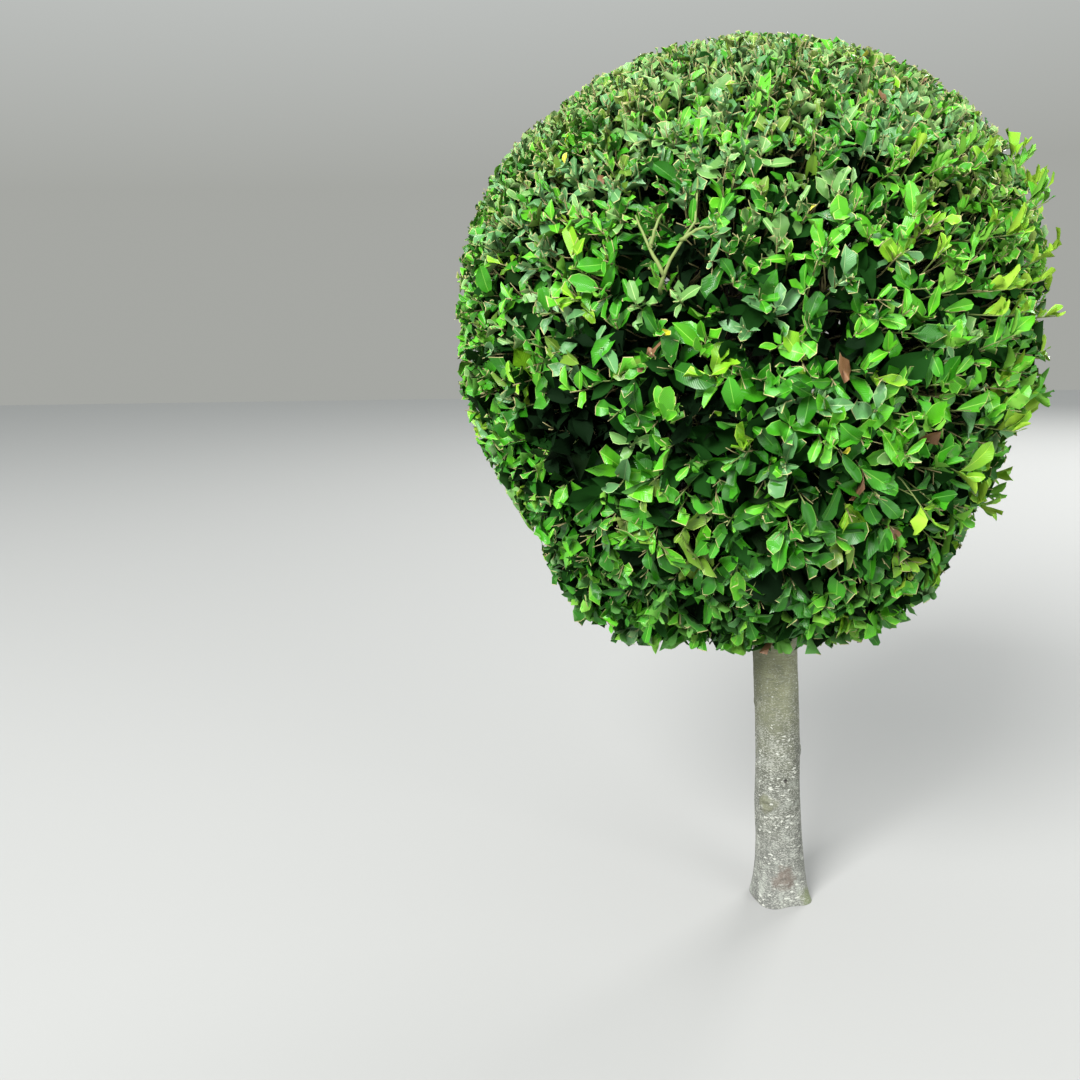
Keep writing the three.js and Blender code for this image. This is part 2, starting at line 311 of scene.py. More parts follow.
# Pale raised spots drawn out sideways, as on smooth bark
lenticels = {
    "cells": (70.0, 70.0, 190.0),
    "shake": (90.0, 1.2),  # scale of the cloud that shakes the cells, and how far
    "frayScale": 260.0,
    "fray": 0.2,
    "edge": (-0.02, 0.1),
}


# Each cell's own colour says how large its spot is
def spotGroup():
    group, inlet, outlet = newGroup("wide lenticels", {"Fill": 0.5, "Often": 0.42}, "Spots")
    place = shakenPlace(group, lenticels["cells"], *lenticels["shake"])
    cells = addNode(group, "TexVoronoi", Vector=place, Scale=1.0)
    parts = addNode(group, "SeparateColor", Color=cells.outputs["Color"])
    least = maths(group, "SUBTRACT", 1.0, inlet.outputs["Often"])
    size = product(group, ranged(group, parts.outputs["Red"], least, 1.0), inlet.outputs["Fill"])
    fray = drift(group, lenticels["frayScale"], -lenticels["fray"], lenticels["fray"], 2.0)
    reach = maths(group, "ADD", cells.outputs["Distance"], fray)
    spots = ranged(group, maths(group, "SUBTRACT", size, reach), *lenticels["edge"])
    group.links.new(spots, outlet.inputs["Spots"])
    return group


# Fine pale flecks, thicker in some places than in others
flecks = {
    "grain": (1.0, 2.0, 0.55, (190.0, 190.0, 430.0)),  # scale, detail, roughness and stretch
    "crowdScale": 24.0,
    "crowd": 0.06,
    "least": (0.66, 0.51),  # how high the grain has to rise, with no cover and with full cover
    "edge": 0.06,
}


def fleckGroup():
    group, inlet, outlet = newGroup("fine flecks", {"Cover": 0.5}, "Flecks")
    crowd = drift(group, flecks["crowdScale"], -flecks["crowd"], flecks["crowd"])
    level = maths(group, "ADD", cloud(group, *flecks["grain"]), crowd)
    least = ranged(group, inlet.outputs["Cover"], 0.0, 1.0, *flecks["least"])
    over = maths(group, "SUBTRACT", level, least)
    group.links.new(ranged(group, over, 0.0, flecks["edge"]), outlet.inputs["Flecks"])
    return group


wideSpots = spotGroup()
fineFlecks = fleckGroup()

bark = {
    "foot": (0.13, 0.134, 0.12),
    "middle": (0.084, 0.088, 0.068),
    # brighter and more olive towards the top: painted light that makes up for the crown's shadow
    "top": (0.205, 0.215, 0.125),
    "olive": (0.1, 0.104, 0.062),
    "brown": (0.095, 0.075, 0.06),
    "moss": (0.1, 0.12, 0.05),
    # near black in the small holes: painted shade
    "hole": (0.02, 0.018, 0.014),
    "spot": (0.41, 0.42, 0.37),
    "lichen": (0.29, 0.31, 0.27),
    # turn, height, size and tone
    "patches": [
        (-2.05, 0.285, 0.026, "olive"),
        (-1.36, 0.078, 0.034, "brown"),
        (2.9, 0.55, 0.03, "olive"),
        (-0.35, 0.012, 0.034, "moss"),
    ],
    "patchStrength": 0.85,
    "patchEdge": (1.15, 0.6),  # from where it fades in to where it is full, in its sizes
    "frayScale": 45.0,
    "fray": 0.4,
    "patchSpots": 0.35,  # share of the pale spots that a patch keeps
    "toMiddle": (0.0, 0.36),  # heights between which one tone gives way to the next
    "toTop": (0.4, 0.74),
    "heightScale": 9.0,  # the cloud that shakes these heights, and how far
    "heightShake": 0.09,
    # clouds: scale, detail, roughness and stretch
    "lichenCloud": (34.0, 5.0, 0.62),
    "duskCloud": (16.0, 4.0, 0.6, (1.0, 1.0, 0.5)),
    "foldCloud": (1.0, 4.0, 0.65, (42.0, 42.0, 420.0)),
    "crowdCloud": (15.0, 2.0),
    "wrinkleCloud": (1.0, 4.0, 0.6, (60.0, 60.0, 520.0)),
    # from which value of a cloud to which, and how much at each
    "lichenEdge": (0.52, 0.66),
    "duskRange": (0.38, 0.66, 0.75, 1.12),
    "foldRange": (0.36, 0.6, 0.72, 1.1),
    "crowdRange": (0.36, 0.6, 0.35, 1.0),
    # from which height to which, and how much at each
    "lichenRange": (0.55, 0.05, 0.12, 0.75),
    "coverRange": (1.0, 0.45, 0.0, 1.0),
    "fillRange": (0.98, 0.25, 0.1, 0.68),
    "fineRange": (0.85, 0.45, 0.3, 0.42),
    "wideStrength": 0.92,
    "wrinkleLift": 0.6,
    "spotLift": 0.7,
    "bump": 0.55,
    "bumpHeight": 0.0012,
    "roughness": (0.75, 0.92),
    "roughnessScale": 60.0,
}


# A soft round patch with a frayed edge, at a turn and height on the trunk
def patchMask(tree, turn, z, size):
    ends = (objectPlace(tree), trunkPoint(turn, z))
    away = operated(tree, "VectorMath", "DISTANCE", "Value", ends)
    fray = drift(tree, bark["frayScale"], -bark["fray"] * size, bark["fray"] * size)
    none, full = bark["patchEdge"]
    return ranged(tree, maths(tree, "ADD", away, fray), size * none, size * full)


def trunkBark():
    material, tree, shader = plainMaterial("trunk bark", bark["middle"], bark["roughness"][1])
    parts = addNode(tree, "SeparateXYZ", Vector=objectPlace(tree))
    shake = drift(tree, bark["heightScale"], -bark["heightShake"], bark["heightShake"])
    height = maths(tree, "ADD", parts.outputs["Z"], shake)
    colour = blended(tree, ranged(tree, height, *bark["toMiddle"]), bark["foot"], bark["middle"])
    # painted light: the top's tone is brighter to make up for the crown's shadow
    colour = blended(tree, ranged(tree, height, *bark["toTop"]), colour, bark["top"])
    lichen = ranged(tree, cloud(tree, *bark["lichenCloud"]), *bark["lichenEdge"])
    lichen = product(tree, lichen, ranged(tree, height, *bark["lichenRange"]))
    colour = blended(tree, lichen, colour, bark["lichen"])
    dusk = ranged(tree, cloud(tree, *bark["duskCloud"]), *bark["duskRange"])
    dusk = product(tree, dusk, ranged(tree, cloud(tree, *bark["foldCloud"]), *bark["foldRange"]))
    shade = addNode(tree, "CombineColor", Red=dusk, Green=dusk, Blue=dusk)
    colour = blended(tree, 1.0, colour, shade.outputs["Color"], "MULTIPLY")
    bare = 1.0
    for turn, z, size, tone in bark["patches"]:
        mask = patchMask(tree, turn, z, size)
        colour = blended(tree, product(tree, mask, bark["patchStrength"]), colour, bark[tone])
        bare = product(tree, bare, ranged(tree, mask, 0.0, 1.0, 1.0, bark["patchSpots"]))
    fine = addGroup(tree, fineFlecks)
    tree.links.new(ranged(tree, height, *bark["coverRange"]), fine.inputs["Cover"])
    fine = product(tree, fine.outputs["Flecks"], ranged(tree, height, *bark["fineRange"]))
    wide = addGroup(tree, wideSpots)
    crowd = ranged(tree, cloud(tree, *bark["crowdCloud"]), *bark["crowdRange"])
    fill = product(tree, ranged(tree, height, *bark["fillRange"]), crowd)
    tree.links.new(fill, wide.inputs["Fill"])
    wide = product(tree, wide.outputs["Spots"], bark["wideStrength"])
    spots = product(tree, maths(tree, "MAXIMUM", fine, wide), bare)
    colour = blended(tree, spots, colour, bark["spot"])
    # painted shade: the small holes are darkened to near black
    for turn, z, size, _ in trunk["holes"]:
        colour = blended(tree, patchMask(tree, turn, z, size), colour, bark["hole"])
    tree.links.new(colour, shader.inputs["Base Color"])
    wrinkles = product(tree, cloud(tree, *bark["wrinkleCloud"]), bark["wrinkleLift"])
    lift = maths(tree, "ADD", wrinkles, product(tree, spots, bark["spotLift"]))
    addBump(tree, shader, lift, bark["bump"], bark["bumpHeight"])
    roughness = drift(tree, bark["roughnessScale"], *bark["roughness"])
    tree.links.new(roughness, shader.inputs["Roughness"])
    return material


limbLook = {
    "dark": (0.12, 0.115, 0.065),
    "light": (0.22, 0.21, 0.13),
    "spot": (0.4, 0.39, 0.3),
    "toneCloud": (26.0, 4.0),
    "toneRange": (0.35, 0.65),
    "spotStrength": 0.4,
    "grainCloud": (1.0, 4.0, 0.6, (90.0, 90.0, 300.0)),
    "bump": 0.5,
    "bumpHeight": 0.001,
    "roughness": 0.8,
}


def limbBark():
    material, tree, shader = plainMaterial("limb bark", limbLook["light"], limbLook["roughness"])
    share = ranged(tree, cloud(tree, *limbLook["toneCloud"]), *limbLook["toneRange"])
    colour = blended(tree, share, limbLook["dark"], limbLook["light"])
    spots = addGroup(tree, fineFlecks).outputs["Flecks"]
    spots = product(tree, spots, limbLook["spotStrength"])
    tree.links.new(blended(tree, spots, colour, limbLook["spot"]), shader.inputs["Base Color"])
    grain = cloud(tree, *limbLook["grainCloud"])
    addBump(tree, shader, grain, limbLook["bump"], limbLook["bumpHeight"])
    return material


def settle(piece, nodeName):
    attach(piece, "root")
    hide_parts(nodeName)


def addTrunk():
    def place(around, along):
        turn = around * fullTurn
        z = trunk["top"] * along ** trunk["ringCrowding"]
        kept = min(1, lerp(trunk["flatShare"], 1, z / trunk["flatHeight"]))
        return trunkPoint(turn, z, barkRelief(turn, z) * kept)

    piece = rolledTube("trunk_bark", trunk["around"], trunk["rings"], place, trunkBark())
    settle(piece, "trunk")


addTrunk()
print("trunk made")

# Clipped ball: the outline that the leaf tips reach, as in the solids
ball = {
    "centre": np.array([-0.116, 0.0, 1.603]),
    "radius": 0.682,
    "rise": 0.565,
    "drop": 0.867,
    "upperRoundness": 2.0,
    "lowerRoundness": 2.3,
    "leafDepth": 0.095,
    # fuller and thinner places: turn, tilt, width, depth
    "fullPlaces": [
        (-2.84, -0.28, 0.18, 0.03),
        (-2.78, -0.79, 0.17, -0.04),
        (-2.62, -1.02, 0.14, 0.035),
        (-2.28, -1.22, 0.1, 0.022),
        (-1.75, -1.3, 0.16, -0.035),
        (-0.44, -1.03, 0.14, 0.035),
        (-0.24, -0.6, 0.22, -0.02),
        (-0.22, -0.3, 0.12, 0.022),
        (-2.7, 0.77, 0.15, -0.018),
    ],
    "hollowRadius": 0.245,
    "hollowRise": 0.235,
    "hollowFoot": 0.8,
}


def unit(vectors):
    return vectors / np.linalg.norm(vectors, axis=-1, keepdims=True)


# Rises from 0 to 1 with a value, by this slope and start
def ramp(value, slope, start=0.0):
    return np.clip(value * slope + start, 0, 1)


def toward(turn, tilt):
    level = math.cos(tilt)
    return np.array([level * math.cos(turn), level * math.sin(turn), math.sin(tilt)])


def angleFrom(directions, turn, tilt):
    return np.arccos(np.clip(directions @ toward(turn, tilt), -1, 1))


def halfHeight(directions):
    return np.where(directions[..., 2] > 0, ball["rise"], ball["drop"])


def roundness(directions):
    return np.where(directions[..., 2] > 0, ball["upperRoundness"], ball["lowerRoundness"])


def evenDistance(directions):
    side = np.hypot(directions[..., 0], directions[..., 1]) / ball["radius"]
    height = np.abs(directions[..., 2]) / halfHeight(directions)
    power = roundness(directions)
    return 1 / (side**power + height**power) ** (1 / power)


def faceDistance(directions):
    fullness = np.ones(directions.shape[:-1])
    for turn, tilt, width, depth in ball["fullPlaces"]:
        fullness += depth * np.exp(-((angleFrom(directions, turn, tilt) / width) ** 2))
    return evenDistance(directions) * fullness


def faceNormal(directions):
    power = roundness(directions)
    half = halfHeight(directions)
    level = np.maximum(np.hypot(directions[..., 0], directions[..., 1]), 1e-6)
    side = (level / ball["radius"]) ** (power - 1) / ball["radius"] / level
    height = np.sign(directions[..., 2]) * (np.abs(directions[..., 2]) / half) ** (power - 1) / half
    return unit(np.stack([directions[..., 0] * side, directions[..., 1] * side, height], -1))


def depthInside(points):
    away = points - ball["centre"]
    distance = np.linalg.norm(away, axis=-1)
    return faceDistance(away / distance[..., None]) - distance


def onFace(directions, depth):
    return ball["centre"] + directions * (faceDistance(directions) - depth)[..., None]


def inHollow(points, room=0.0):
    side = np.hypot(points[..., 0] - leanAt(trunk["forkHeight"]), points[..., 1])
    height = (points[..., 2] - ball["hollowFoot"]) / (ball["hollowRise"] - room)
    return (side / (ball["hollowRadius"] - room)) ** 2 + height**2 < 1


def inCore(points):
    away = points - ball["centre"]
    distance = np.linalg.norm(away, axis=-1)
    inside = distance < evenDistance(away / distance[..., None]) - ball["leafDepth"]
    return inside & ~inHollow(points)


# Directions from the ball's centre that share out its face, closer together towards the top if
# asked, each turned on by the golden angle
def spreadDirections(count, topCrowding=0.0):
    tilts = np.linspace(math.pi / 2, -math.pi / 2, 721)  # a quarter of a degree apart
    rays = np.stack([np.cos(tilts), 0 * tilts, np.sin(tilts)], -1)
    profile = rays * evenDistance(rays)[:, None]
    bands = np.linalg.norm(np.diff(profile, axis=0), axis=1) * (profile[1:, 0] + profile[:-1, 0])
    bands *= 1 + topCrowding * np.clip(profile[1:, 2] / ball["rise"], 0, 1)
    areas = np.concatenate([[0], np.cumsum(bands)])
    tilt = np.interp(areas[-1] * (np.arange(count) + 0.5) / count, areas, tilts)
    turn = np.arange(count) * goldenAngle
    return np.stack([np.cos(tilt) * np.cos(turn), np.cos(tilt) * np.sin(turn), np.sin(tilt)], -1)


# Boughs that fan out of the fork, grown by the same seeded draws as the solids
boughs = {
    "seed": 5,
    "count": 5,
    "radius": 0.025,
    "tipRadius": 0.014,
    "taper": 0.7,  # a thin bough's tip is this share of it
    "reach": 0.33,
    "rise": 0.25,
    "bendAt": 0.5,
    "startRise": 0.55,
    "setOut": 0.012,  # from the middle of the fork
    "setDown": 0.014,
    "firstTurn": 0.5,
    "turnScatter": 0.14,
    "reachScatter": 0.08,
    "riseScatter": 0.15,
    # the leading bough, and the thin low one that leaves the trunk under the fork
    "leaderRadius": 0.028,
    "leaderRise": 0.32,
    "leaderSway": 0.045,
    "lowHeight": 0.712,
    "lowRadius": 0.008,
    "lowReach": 0.29,
    "lowRise": 0.29,
    "lowTurn": -0.2,
    "lowSetDown": 0.045,
    "lowBend": 0.55,
    "socketDepth": 0.055,  # how far it runs on into the ball's core
    "fineSteps": 401,
    "steps": 25,
    "around": 20,
    "rings": 60,
    "crossWay": (0.31, 0.94, 0.17),  # none of them runs this way
    "lumps": 0.05,  # relief as a share of the radius, and its waves to the metre
    "lumpWaves": 40,
    "lumpSpread": 0.03,
    "grain": 0.03,
    "grainWaves": 160,
    "grainAround": 3,
}


# The small seeded generator of the solids' source, so that both draw the same boughs
def seededSpread(seed):
    state = [seed]

    def draw():
        whole = 0xFFFFFFFF
        state[0] = (state[0] + 0x6D2B79F5) & whole
        t = state[0]
        t = ((t ^ (t >> 15)) * (t | 1)) & whole
        t ^= (t + (((t ^ (t >> 7)) * (t | 61)) & whole)) & whole
        return ((t ^ (t >> 14)) & whole) / 4294967296

    draw()
    return lambda size: (draw() * 2 - 1) * size


def resampled(points, at, stops):
    return np.stack([np.interp(stops, at, along) for along in np.transpose(points)], -1)


# A bough's path as far as its socket in the ball's core
def untilSocket(start, bend, end):
    t = np.linspace(0, 1, boughs["fineSteps"])[:, None]
    points = (1 - t) ** 2 * start + 2 * t * (1 - t) * bend + t**2 * end
    lengths = np.concatenate([[0], np.cumsum(np.linalg.norm(np.diff(points, axis=0), axis=1))])
    entry = lengths[np.argmax(inCore(points))]
    stops = np.linspace(0, min(lengths[-1], entry + boughs["socketDepth"]), boughs["steps"])
    return resampled(points, lengths, stops)


def growBoughs():
    spread = seededSpread(boughs["seed"])
    fork = np.array([leanAt(trunk["forkHeight"]), 0, trunk["forkHeight"]])
    up = np.array([0.0, 0.0, 1.0])
    grown = {}
    for index in range(boughs["count"]):
        turn = boughs["firstTurn"] + index * fullTurn / boughs["count"]
        turn += spread(boughs["turnScatter"])
        reach = boughs["reach"] * (1 + spread(boughs["reachScatter"]))
        away = toward(turn, 0)
        start = fork + away * boughs["setOut"] + up * (spread(boughs["setOut"]) - boughs["setDown"])
        run = reach * boughs["bendAt"]
        bend = start + away * run + up * run * boughs["startRise"]
        end = start + away * reach + up * boughs["rise"] * (1 + spread(boughs["riseScatter"]))
        grown[f"bough_{index + 1}"] = (untilSocket(start, bend, end), boughs["radius"])
    bend = fork + up * boughs["leaderRise"] * boughs["bendAt"]
    end = fork + up * boughs["leaderRise"] - np.array([boughs["leaderSway"], 0, 0])
    grown["leading_bough"] = (untilSocket(fork, bend, end), boughs["leaderRadius"])
    away = toward(boughs["lowTurn"], 0)
    start = np.array([leanAt(boughs["lowHeight"]), 0, boughs["lowHeight"] - boughs["lowSetDown"]])
    bend = start + away * boughs["lowReach"] * boughs["lowBend"]
    bend = bend + up * boughs["lowRise"] * (1 - boughs["lowBend"])
    end = start + away * boughs["lowReach"] + up * boughs["lowRise"]
    grown["low_bough"] = (untilSocket(start, bend, end), boughs["lowRadius"])
    return grown


def addBough(name, path, radius, material):
    ways = [Vector(way) for way in unit(np.gradient(path, axis=0))]
    points = [Vector(point) for point in path]
    tipRadius = min(boughs["tipRadius"], radius * boughs["taper"])

    def place(around, along):
        step = min(int(along * (len(points) - 1)), len(points) - 2)
        share = along * (len(points) - 1) - step
        middle = points[step].lerp(points[step + 1], share)
        way = ways[step].lerp(ways[step + 1], share).normalized()
        across = way.cross(Vector(boughs["crossWay"])).normalized()
        turn = around * fullTurn
        side = across * math.cos(turn) + way.cross(across) * math.sin(turn)
        lump = noise.noise((middle + side * boughs["lumpSpread"]) * boughs["lumpWaves"])
        fine = noise.noise(side * boughs["grainAround"] + middle * boughs["grainWaves"])
        relief = 1 + boughs["lumps"] * lump + boughs["grain"] * fine
        return middle + side * lerp(radius, tipRadius, along) * relief

    piece = rolledTube(f"{name}_bark", boughs["around"], boughs["rings"], place, material)
    settle(piece, name)


boughPaths = growBoughs()
boughBark = limbBark()
for boughName, (boughPath, boughRadius) in boughPaths.items():
    addBough(boughName, boughPath, boughRadius, boughBark)
print("boughs made:", len(boughPaths))

# Limbs inside the ball: each level grows on from the ends of the level before
limbs = {
    # how many, how deep under the face they end, and the points along each
    "branch": {"count": 40, "depth": 0.36, "scatter": 0.03, "steps": 12},
    "stem": {"count": 240, "depth": 0.2, "scatter": 0.012, "steps": 9},
    "twigSteps": 4,  # up to its sprig
    "stubSteps": 3,
    # radius at the start and end
    "branchRadius": (0.0125, 0.0075),
    "stemRadius": (0.0064, 0.0036),
    "twigRadius": (0.0027, 0.0015),
    "stubRadius": (0.0014, 0.0009),
    "aim": 0.7,  # how much a parent's aim counts beside its distance
    "startOn": 0.7,  # how far a child sets off as its parent grows, and how far towards its own end
    "startFor": 0.6,
    "endOn": 0.4,
    "startPull": 0.4,
    "endPull": 0.35,
    # short stubs: how many, from where on their sprig, how long and how proud of the face
    "stubCount": 2300,
    "stubFrom": (0.45, 0.8),
    "stubScatter": 0.45,
    "stubUp": 0.2,
    "stubLength": (0.012, 0.045),
    "stubProud": (-0.008, 0.003),
}


# For each point, the parent whose end is nearest and best aimed at it
def bestParents(points, parentPaths):
    ways = unit(parentPaths[:, -1] - parentPaths[:, -3])
    gaps = points[:, None] - parentPaths[:, -1][None]
    distance = np.maximum(np.linalg.norm(gaps, axis=2), 1e-6)
    aim = np.sum(gaps * ways[None], axis=2) / distance
    return np.argmin(distance * (1 + limbs["aim"] - limbs["aim"] * aim), axis=1)


def bentPaths(starts, startWays, ends, endWays, steps):
    span = np.linalg.norm(ends - starts, axis=1)[:, None]
    t = np.linspace(0, 1, steps)[None, :, None]
    first, last = starts[:, None], ends[:, None]
    second = (starts + startWays * span * limbs["startPull"])[:, None]
    third = (ends - endWays * span * limbs["endPull"])[:, None]
    early = (1 - t) ** 3 * first + 3 * t * (1 - t) ** 2 * second
    return early + 3 * t**2 * (1 - t) * third + t**3 * last


# Where each child leaves its parent: the first at the parent's end, the rest a little way back
def startsOn(parentPaths, parents):
    steps = parentPaths.shape[1]
    back = chance.integers(1, steps // 2, len(parents))
    back[np.unique(parents, return_index=True)[1]] = 0
    place = steps - 1 - back
    ways = unit(parentPaths[parents, place] - parentPaths[parents, place - 1])
    return parentPaths[parents, place], ways


def growLevel(parentPaths, level):
    directions = spreadDirections(level["count"])
    ends = onFace(directions, level["depth"]) + chance.normal(0, level["scatter"], directions.shape)
    starts, ways = startsOn(parentPaths, bestParents(ends, parentPaths))
    startWays = unit(ways * limbs["startOn"] + unit(ends - starts) * limbs["startFor"])
    endWays = unit(faceNormal(directions) + ways * limbs["endOn"])
    return bentPaths(starts, startWays, ends, endWays, level["steps"])


# Sprigs: each grows through the ball's shell out to the clipped face
sprigs = {
    "count": 3450,
    "topCrowding": 3.0,
    "shell": 0.085,  # their length
    "tipDepth": (0.003, 0.032),
    # two more layers further in, so that nothing shows through
    "innerCount": 600,
    "innerShell": 0.06,
    "innerDepth": 0.06,
    "coreCount": 560,
    "coreShell": 0.07,
    "coreDepth": 0.13,
    "growUp": 0.3,
    "growUpFrom": -0.6,
    "growScatter": 0.22,
    "placeScatter": 0.025,
    "hollowRoom": 0.06,
    "trunkRoom": 0.08,
    "trunkRoomBelow": 1.0,
    "innerGap": 0.05,  # the inner layer stays out of gaps deeper than this
    # young shoots that stand proud, mostly on the right
    "shootProud": (0.004, 0.03),
    "shootLength": 0.8,
    "shootGap": 0.02,
    "shootOften": 0.007,
    "shootLeft": -0.3,
    "shootOftenRight": 0.18,
    "shootRight": 0.5,
    "shootLow": -0.75,
    "shootHigh": 0.42,
    # and some at their own place: turn, tilt
    "shootsAt": [
        (-1.61, -0.17),
        (-1.5, -0.32),
        (-1.1, -0.14),
        (-0.89, -0.39),
        (-0.83, -0.66),
        (-0.71, -0.05),
    ],
    # small hollows all over the sides: how many, width, depth and how high up they come
    "pockets": 135,
    "pocketWidth": (0.025, 0.05),
    "pocketDepth": (0.025, 0.06),
    "pocketScatter": 0.06,
    "pocketsBelow": 0.45,
    # larger dark gaps in the face: turn, tilt, width, depth
    "gaps": [
        (-2.08, -0.44, 0.115, 0.12),
        (-2.3, -0.43, 0.07, 0.09),
        (-1.64, -0.42, 0.075, 0.1),
        (-1.26, -0.14, 0.06, 0.08),
        (-1.36, 0.36, 0.055, 0.07),
        (-1.11, 0.33, 0.055, 0.07),
        (-1.72, 0.1, 0.06, 0.035),
        (-1.95, -0.2, 0.04, 0.06),
        (0.6, -0.3, 0.07, 0.08),
        (1.9, 0.1, 0.05, 0.07),
        (2.7, -0.5, 0.07, 0.08),
        (1.2, -0.55, 0.05, 0.07),
    ],
}


# How much deeper the sprigs stand at the gaps and pockets in the face
def gapDepth(directions):
    deeper = np.zeros(len(directions))
    for turn, tilt, width, depth in sprigs["gaps"] + pockets:
        away = angleFrom(directions, turn, tilt) / width
        deeper = np.maximum(deeper, depth * np.exp(-(away**4)))
    return deeper


def spreadPockets():
    ways = spreadDirections(sprigs["pockets"])
    ways = unit(ways + chance.normal(0, sprigs["pocketScatter"], ways.shape))
    tilts = np.arcsin(ways[:, 2])
    widths = chance.uniform(*sprigs["pocketWidth"], len(ways))
    depths = chance.uniform(*sprigs["pocketDepth"], len(ways))
    found = zip(np.arctan2(ways[:, 1], ways[:, 0]), tilts, widths, depths)
    return [pocket for pocket in found if pocket[1] < sprigs["pocketsBelow"]]


pockets = spreadPockets()


def growSprigs(count, shell, inward):
    directions = spreadDirections(count, sprigs["topCrowding"])
    directions = unit(directions + chance.normal(0, sprigs["placeScatter"], (count, 3)))
    normals = faceNormal(directions)
    tilt = np.arcsin(directions[:, 2])
    right = (directions[:, 0] > sprigs["shootRight"]) & (tilt > sprigs["shootLow"])
    elsewhere = sprigs["shootOften"] * (directions[:, 0] > sprigs["shootLeft"])
    often = np.where(right, sprigs["shootOftenRight"], elsewhere)
    shoot = (chance.random(count) < often) & (tilt < sprigs["shootHigh"])
    for turn, shootTilt in sprigs["shootsAt"]:
        shoot[np.argmin(angleFrom(directions, turn, shootTilt))] = True
    shoot &= inward == 0
    depth = chance.uniform(*sprigs["tipDepth"], count) + inward
    depth = np.where(shoot, -chance.uniform(*sprigs["shootProud"], count), depth)
    deeper = gapDepth(directions)
    depth = depth + deeper
    shoot &= deeper < sprigs["shootGap"]
    headings = normals + chance.normal(0, sprigs["growScatter"], (count, 3))
    headings[:, 2] += sprigs["growUp"] * np.maximum(0, directions[:, 2] - sprigs["growUpFrom"])
    headings = unit(headings)
    tips = onFace(directions, depth)
    length = shell - np.minimum(depth, 0) * sprigs["shootLength"]
    roots = tips - headings * length[:, None]
    room = np.where(tips[:, 2] < sprigs["trunkRoomBelow"], sprigs["trunkRoom"], 0)
    keep = ~inHollow(roots, sprigs["hollowRoom"]) & (np.hypot(tips[:, 0], tips[:, 1]) > room)
    keep &= (deeper < sprigs["innerGap"]) | (inward != sprigs["innerDepth"])
    grown = {
        "directions": directions,
        "normals": normals,
        "headings": headings,
        "roots": roots,
        "tips": tips,
        "shoot": shoot,
        "length": length,
    }
    return {name: values[keep] for name, values in grown.items()}


def twigPaths(stemPaths, grown):
    parents = bestParents(grown["roots"], stemPaths)
    starts, ways = startsOn(stemPaths, parents)
    startWays = unit(ways + unit(grown["roots"] - starts))
    lower = bentPaths(starts, startWays, grown["roots"], grown["headings"], limbs["twigSteps"])
    middle = (grown["roots"] + grown["tips"])[:, None] / 2
    return np.concatenate([lower, middle, grown["tips"][:, None]], axis=1)


# Joined meshes, built from arrays
def joinedMesh(name, points, loops, sizes, slots, materials, leafMap=None):
    mesh = bpy.data.meshes.new(name)
    mesh.vertices.add(len(points))
    mesh.vertices.foreach_set("co", points.astype(np.float32).ravel())
    mesh.loops.add(len(loops))
    mesh.loops.foreach_set("vertex_index", loops.astype(np.int32))
    mesh.polygons.add(len(sizes))
    starts = np.concatenate([[0], np.cumsum(sizes)[:-1]])
    mesh.polygons.foreach_set("loop_start", starts.astype(np.int32))
    for material in materials:
        mesh.materials.append(material)
    mesh.polygons.foreach_set("material_index", slots.astype(np.int32))
    mesh.polygons.foreach_set("use_smooth", np.ones(len(sizes), bool))
    if leafMap is not None:
        layer = mesh.uv_layers.new(name="leafMap")
        layer.data.foreach_set("uv", leafMap.astype(np.float32).ravel())
    mesh.update(calc_edges=True)
    return linked(name, mesh)


# Carries the first ring's side along each path, so that no twig is wrung
def ringFrames(paths):
    ways = unit(np.gradient(paths, axis=1))
    upright = np.abs(ways[:, :1, 2:3]) > 0.85
    aside = np.where(upright, np.array([1.0, 0, 0]), np.array([0, 0, 1.0]))
    across = unit(np.cross(ways, np.broadcast_to(aside, ways.shape)))
    for step in range(1, paths.shape[1]):
        carried = across[:, step - 1]
        lean = np.sum(carried * ways[:, step], axis=1, keepdims=True)
        across[:, step] = unit(carried - ways[:, step] * lean)
    return ways, across


# Each bundle is (paths, start and end radius, sides, slot of the sides, slot of the ends)
def joinedTubes(name, bundles, materials):
    points, loops, sizes, slots = [], [], [], []
    taken = 0
    for paths, (startRadius, endRadius), sides, slot, endSlot in bundles:
        count, steps = paths.shape[:2]
        ways, across = ringFrames(paths)
        over = np.cross(ways, across)
        turns = (np.arange(sides) * fullTurn / sides)[:, None]
        ring = across[:, :, None] * np.cos(turns) + over[:, :, None] * np.sin(turns)
        radii = np.linspace(startRadius, endRadius, steps)[None, :, None, None]
        points.append((paths[:, :, None] + ring * radii).reshape(-1, 3))
        index = np.arange(count * steps * sides).reshape(count, steps, sides) + taken
        here, above = index[:, :-1], index[:, 1:]
        quads = np.stack([here, np.roll(here, -1, 2), np.roll(above, -1, 2), above], -1)
        caps = np.concatenate([index[:, 0, ::-1], index[:, -1]])
        loops += [quads.ravel(), caps.ravel()]
        sizes += [np.full(quads.size // 4, 4), np.full(len(caps), sides)]
        slots += [np.full(quads.size // 4, slot), np.full(len(caps), endSlot)]
        taken += count * steps * sides
    parts = [np.concatenate(part) for part in (points, loops, sizes, slots)]
    settle(joinedMesh(name, *parts, materials), "foliage_ball")


wood = {
    # old inner wood, darkened further with painted shade of the ball's inside
    "oldAndShade": (0.05, 0.045, 0.028),
    "tan": (0.2, 0.18, 0.07),
    "green": (0.14, 0.19, 0.045),
    "cut": (0.42, 0.4, 0.2),
    "roughness": 0.7,
    "greenOften": 0.45,
    "branchSides": 8,
    "stemSides": 6,
    "twigSides": 3,
}

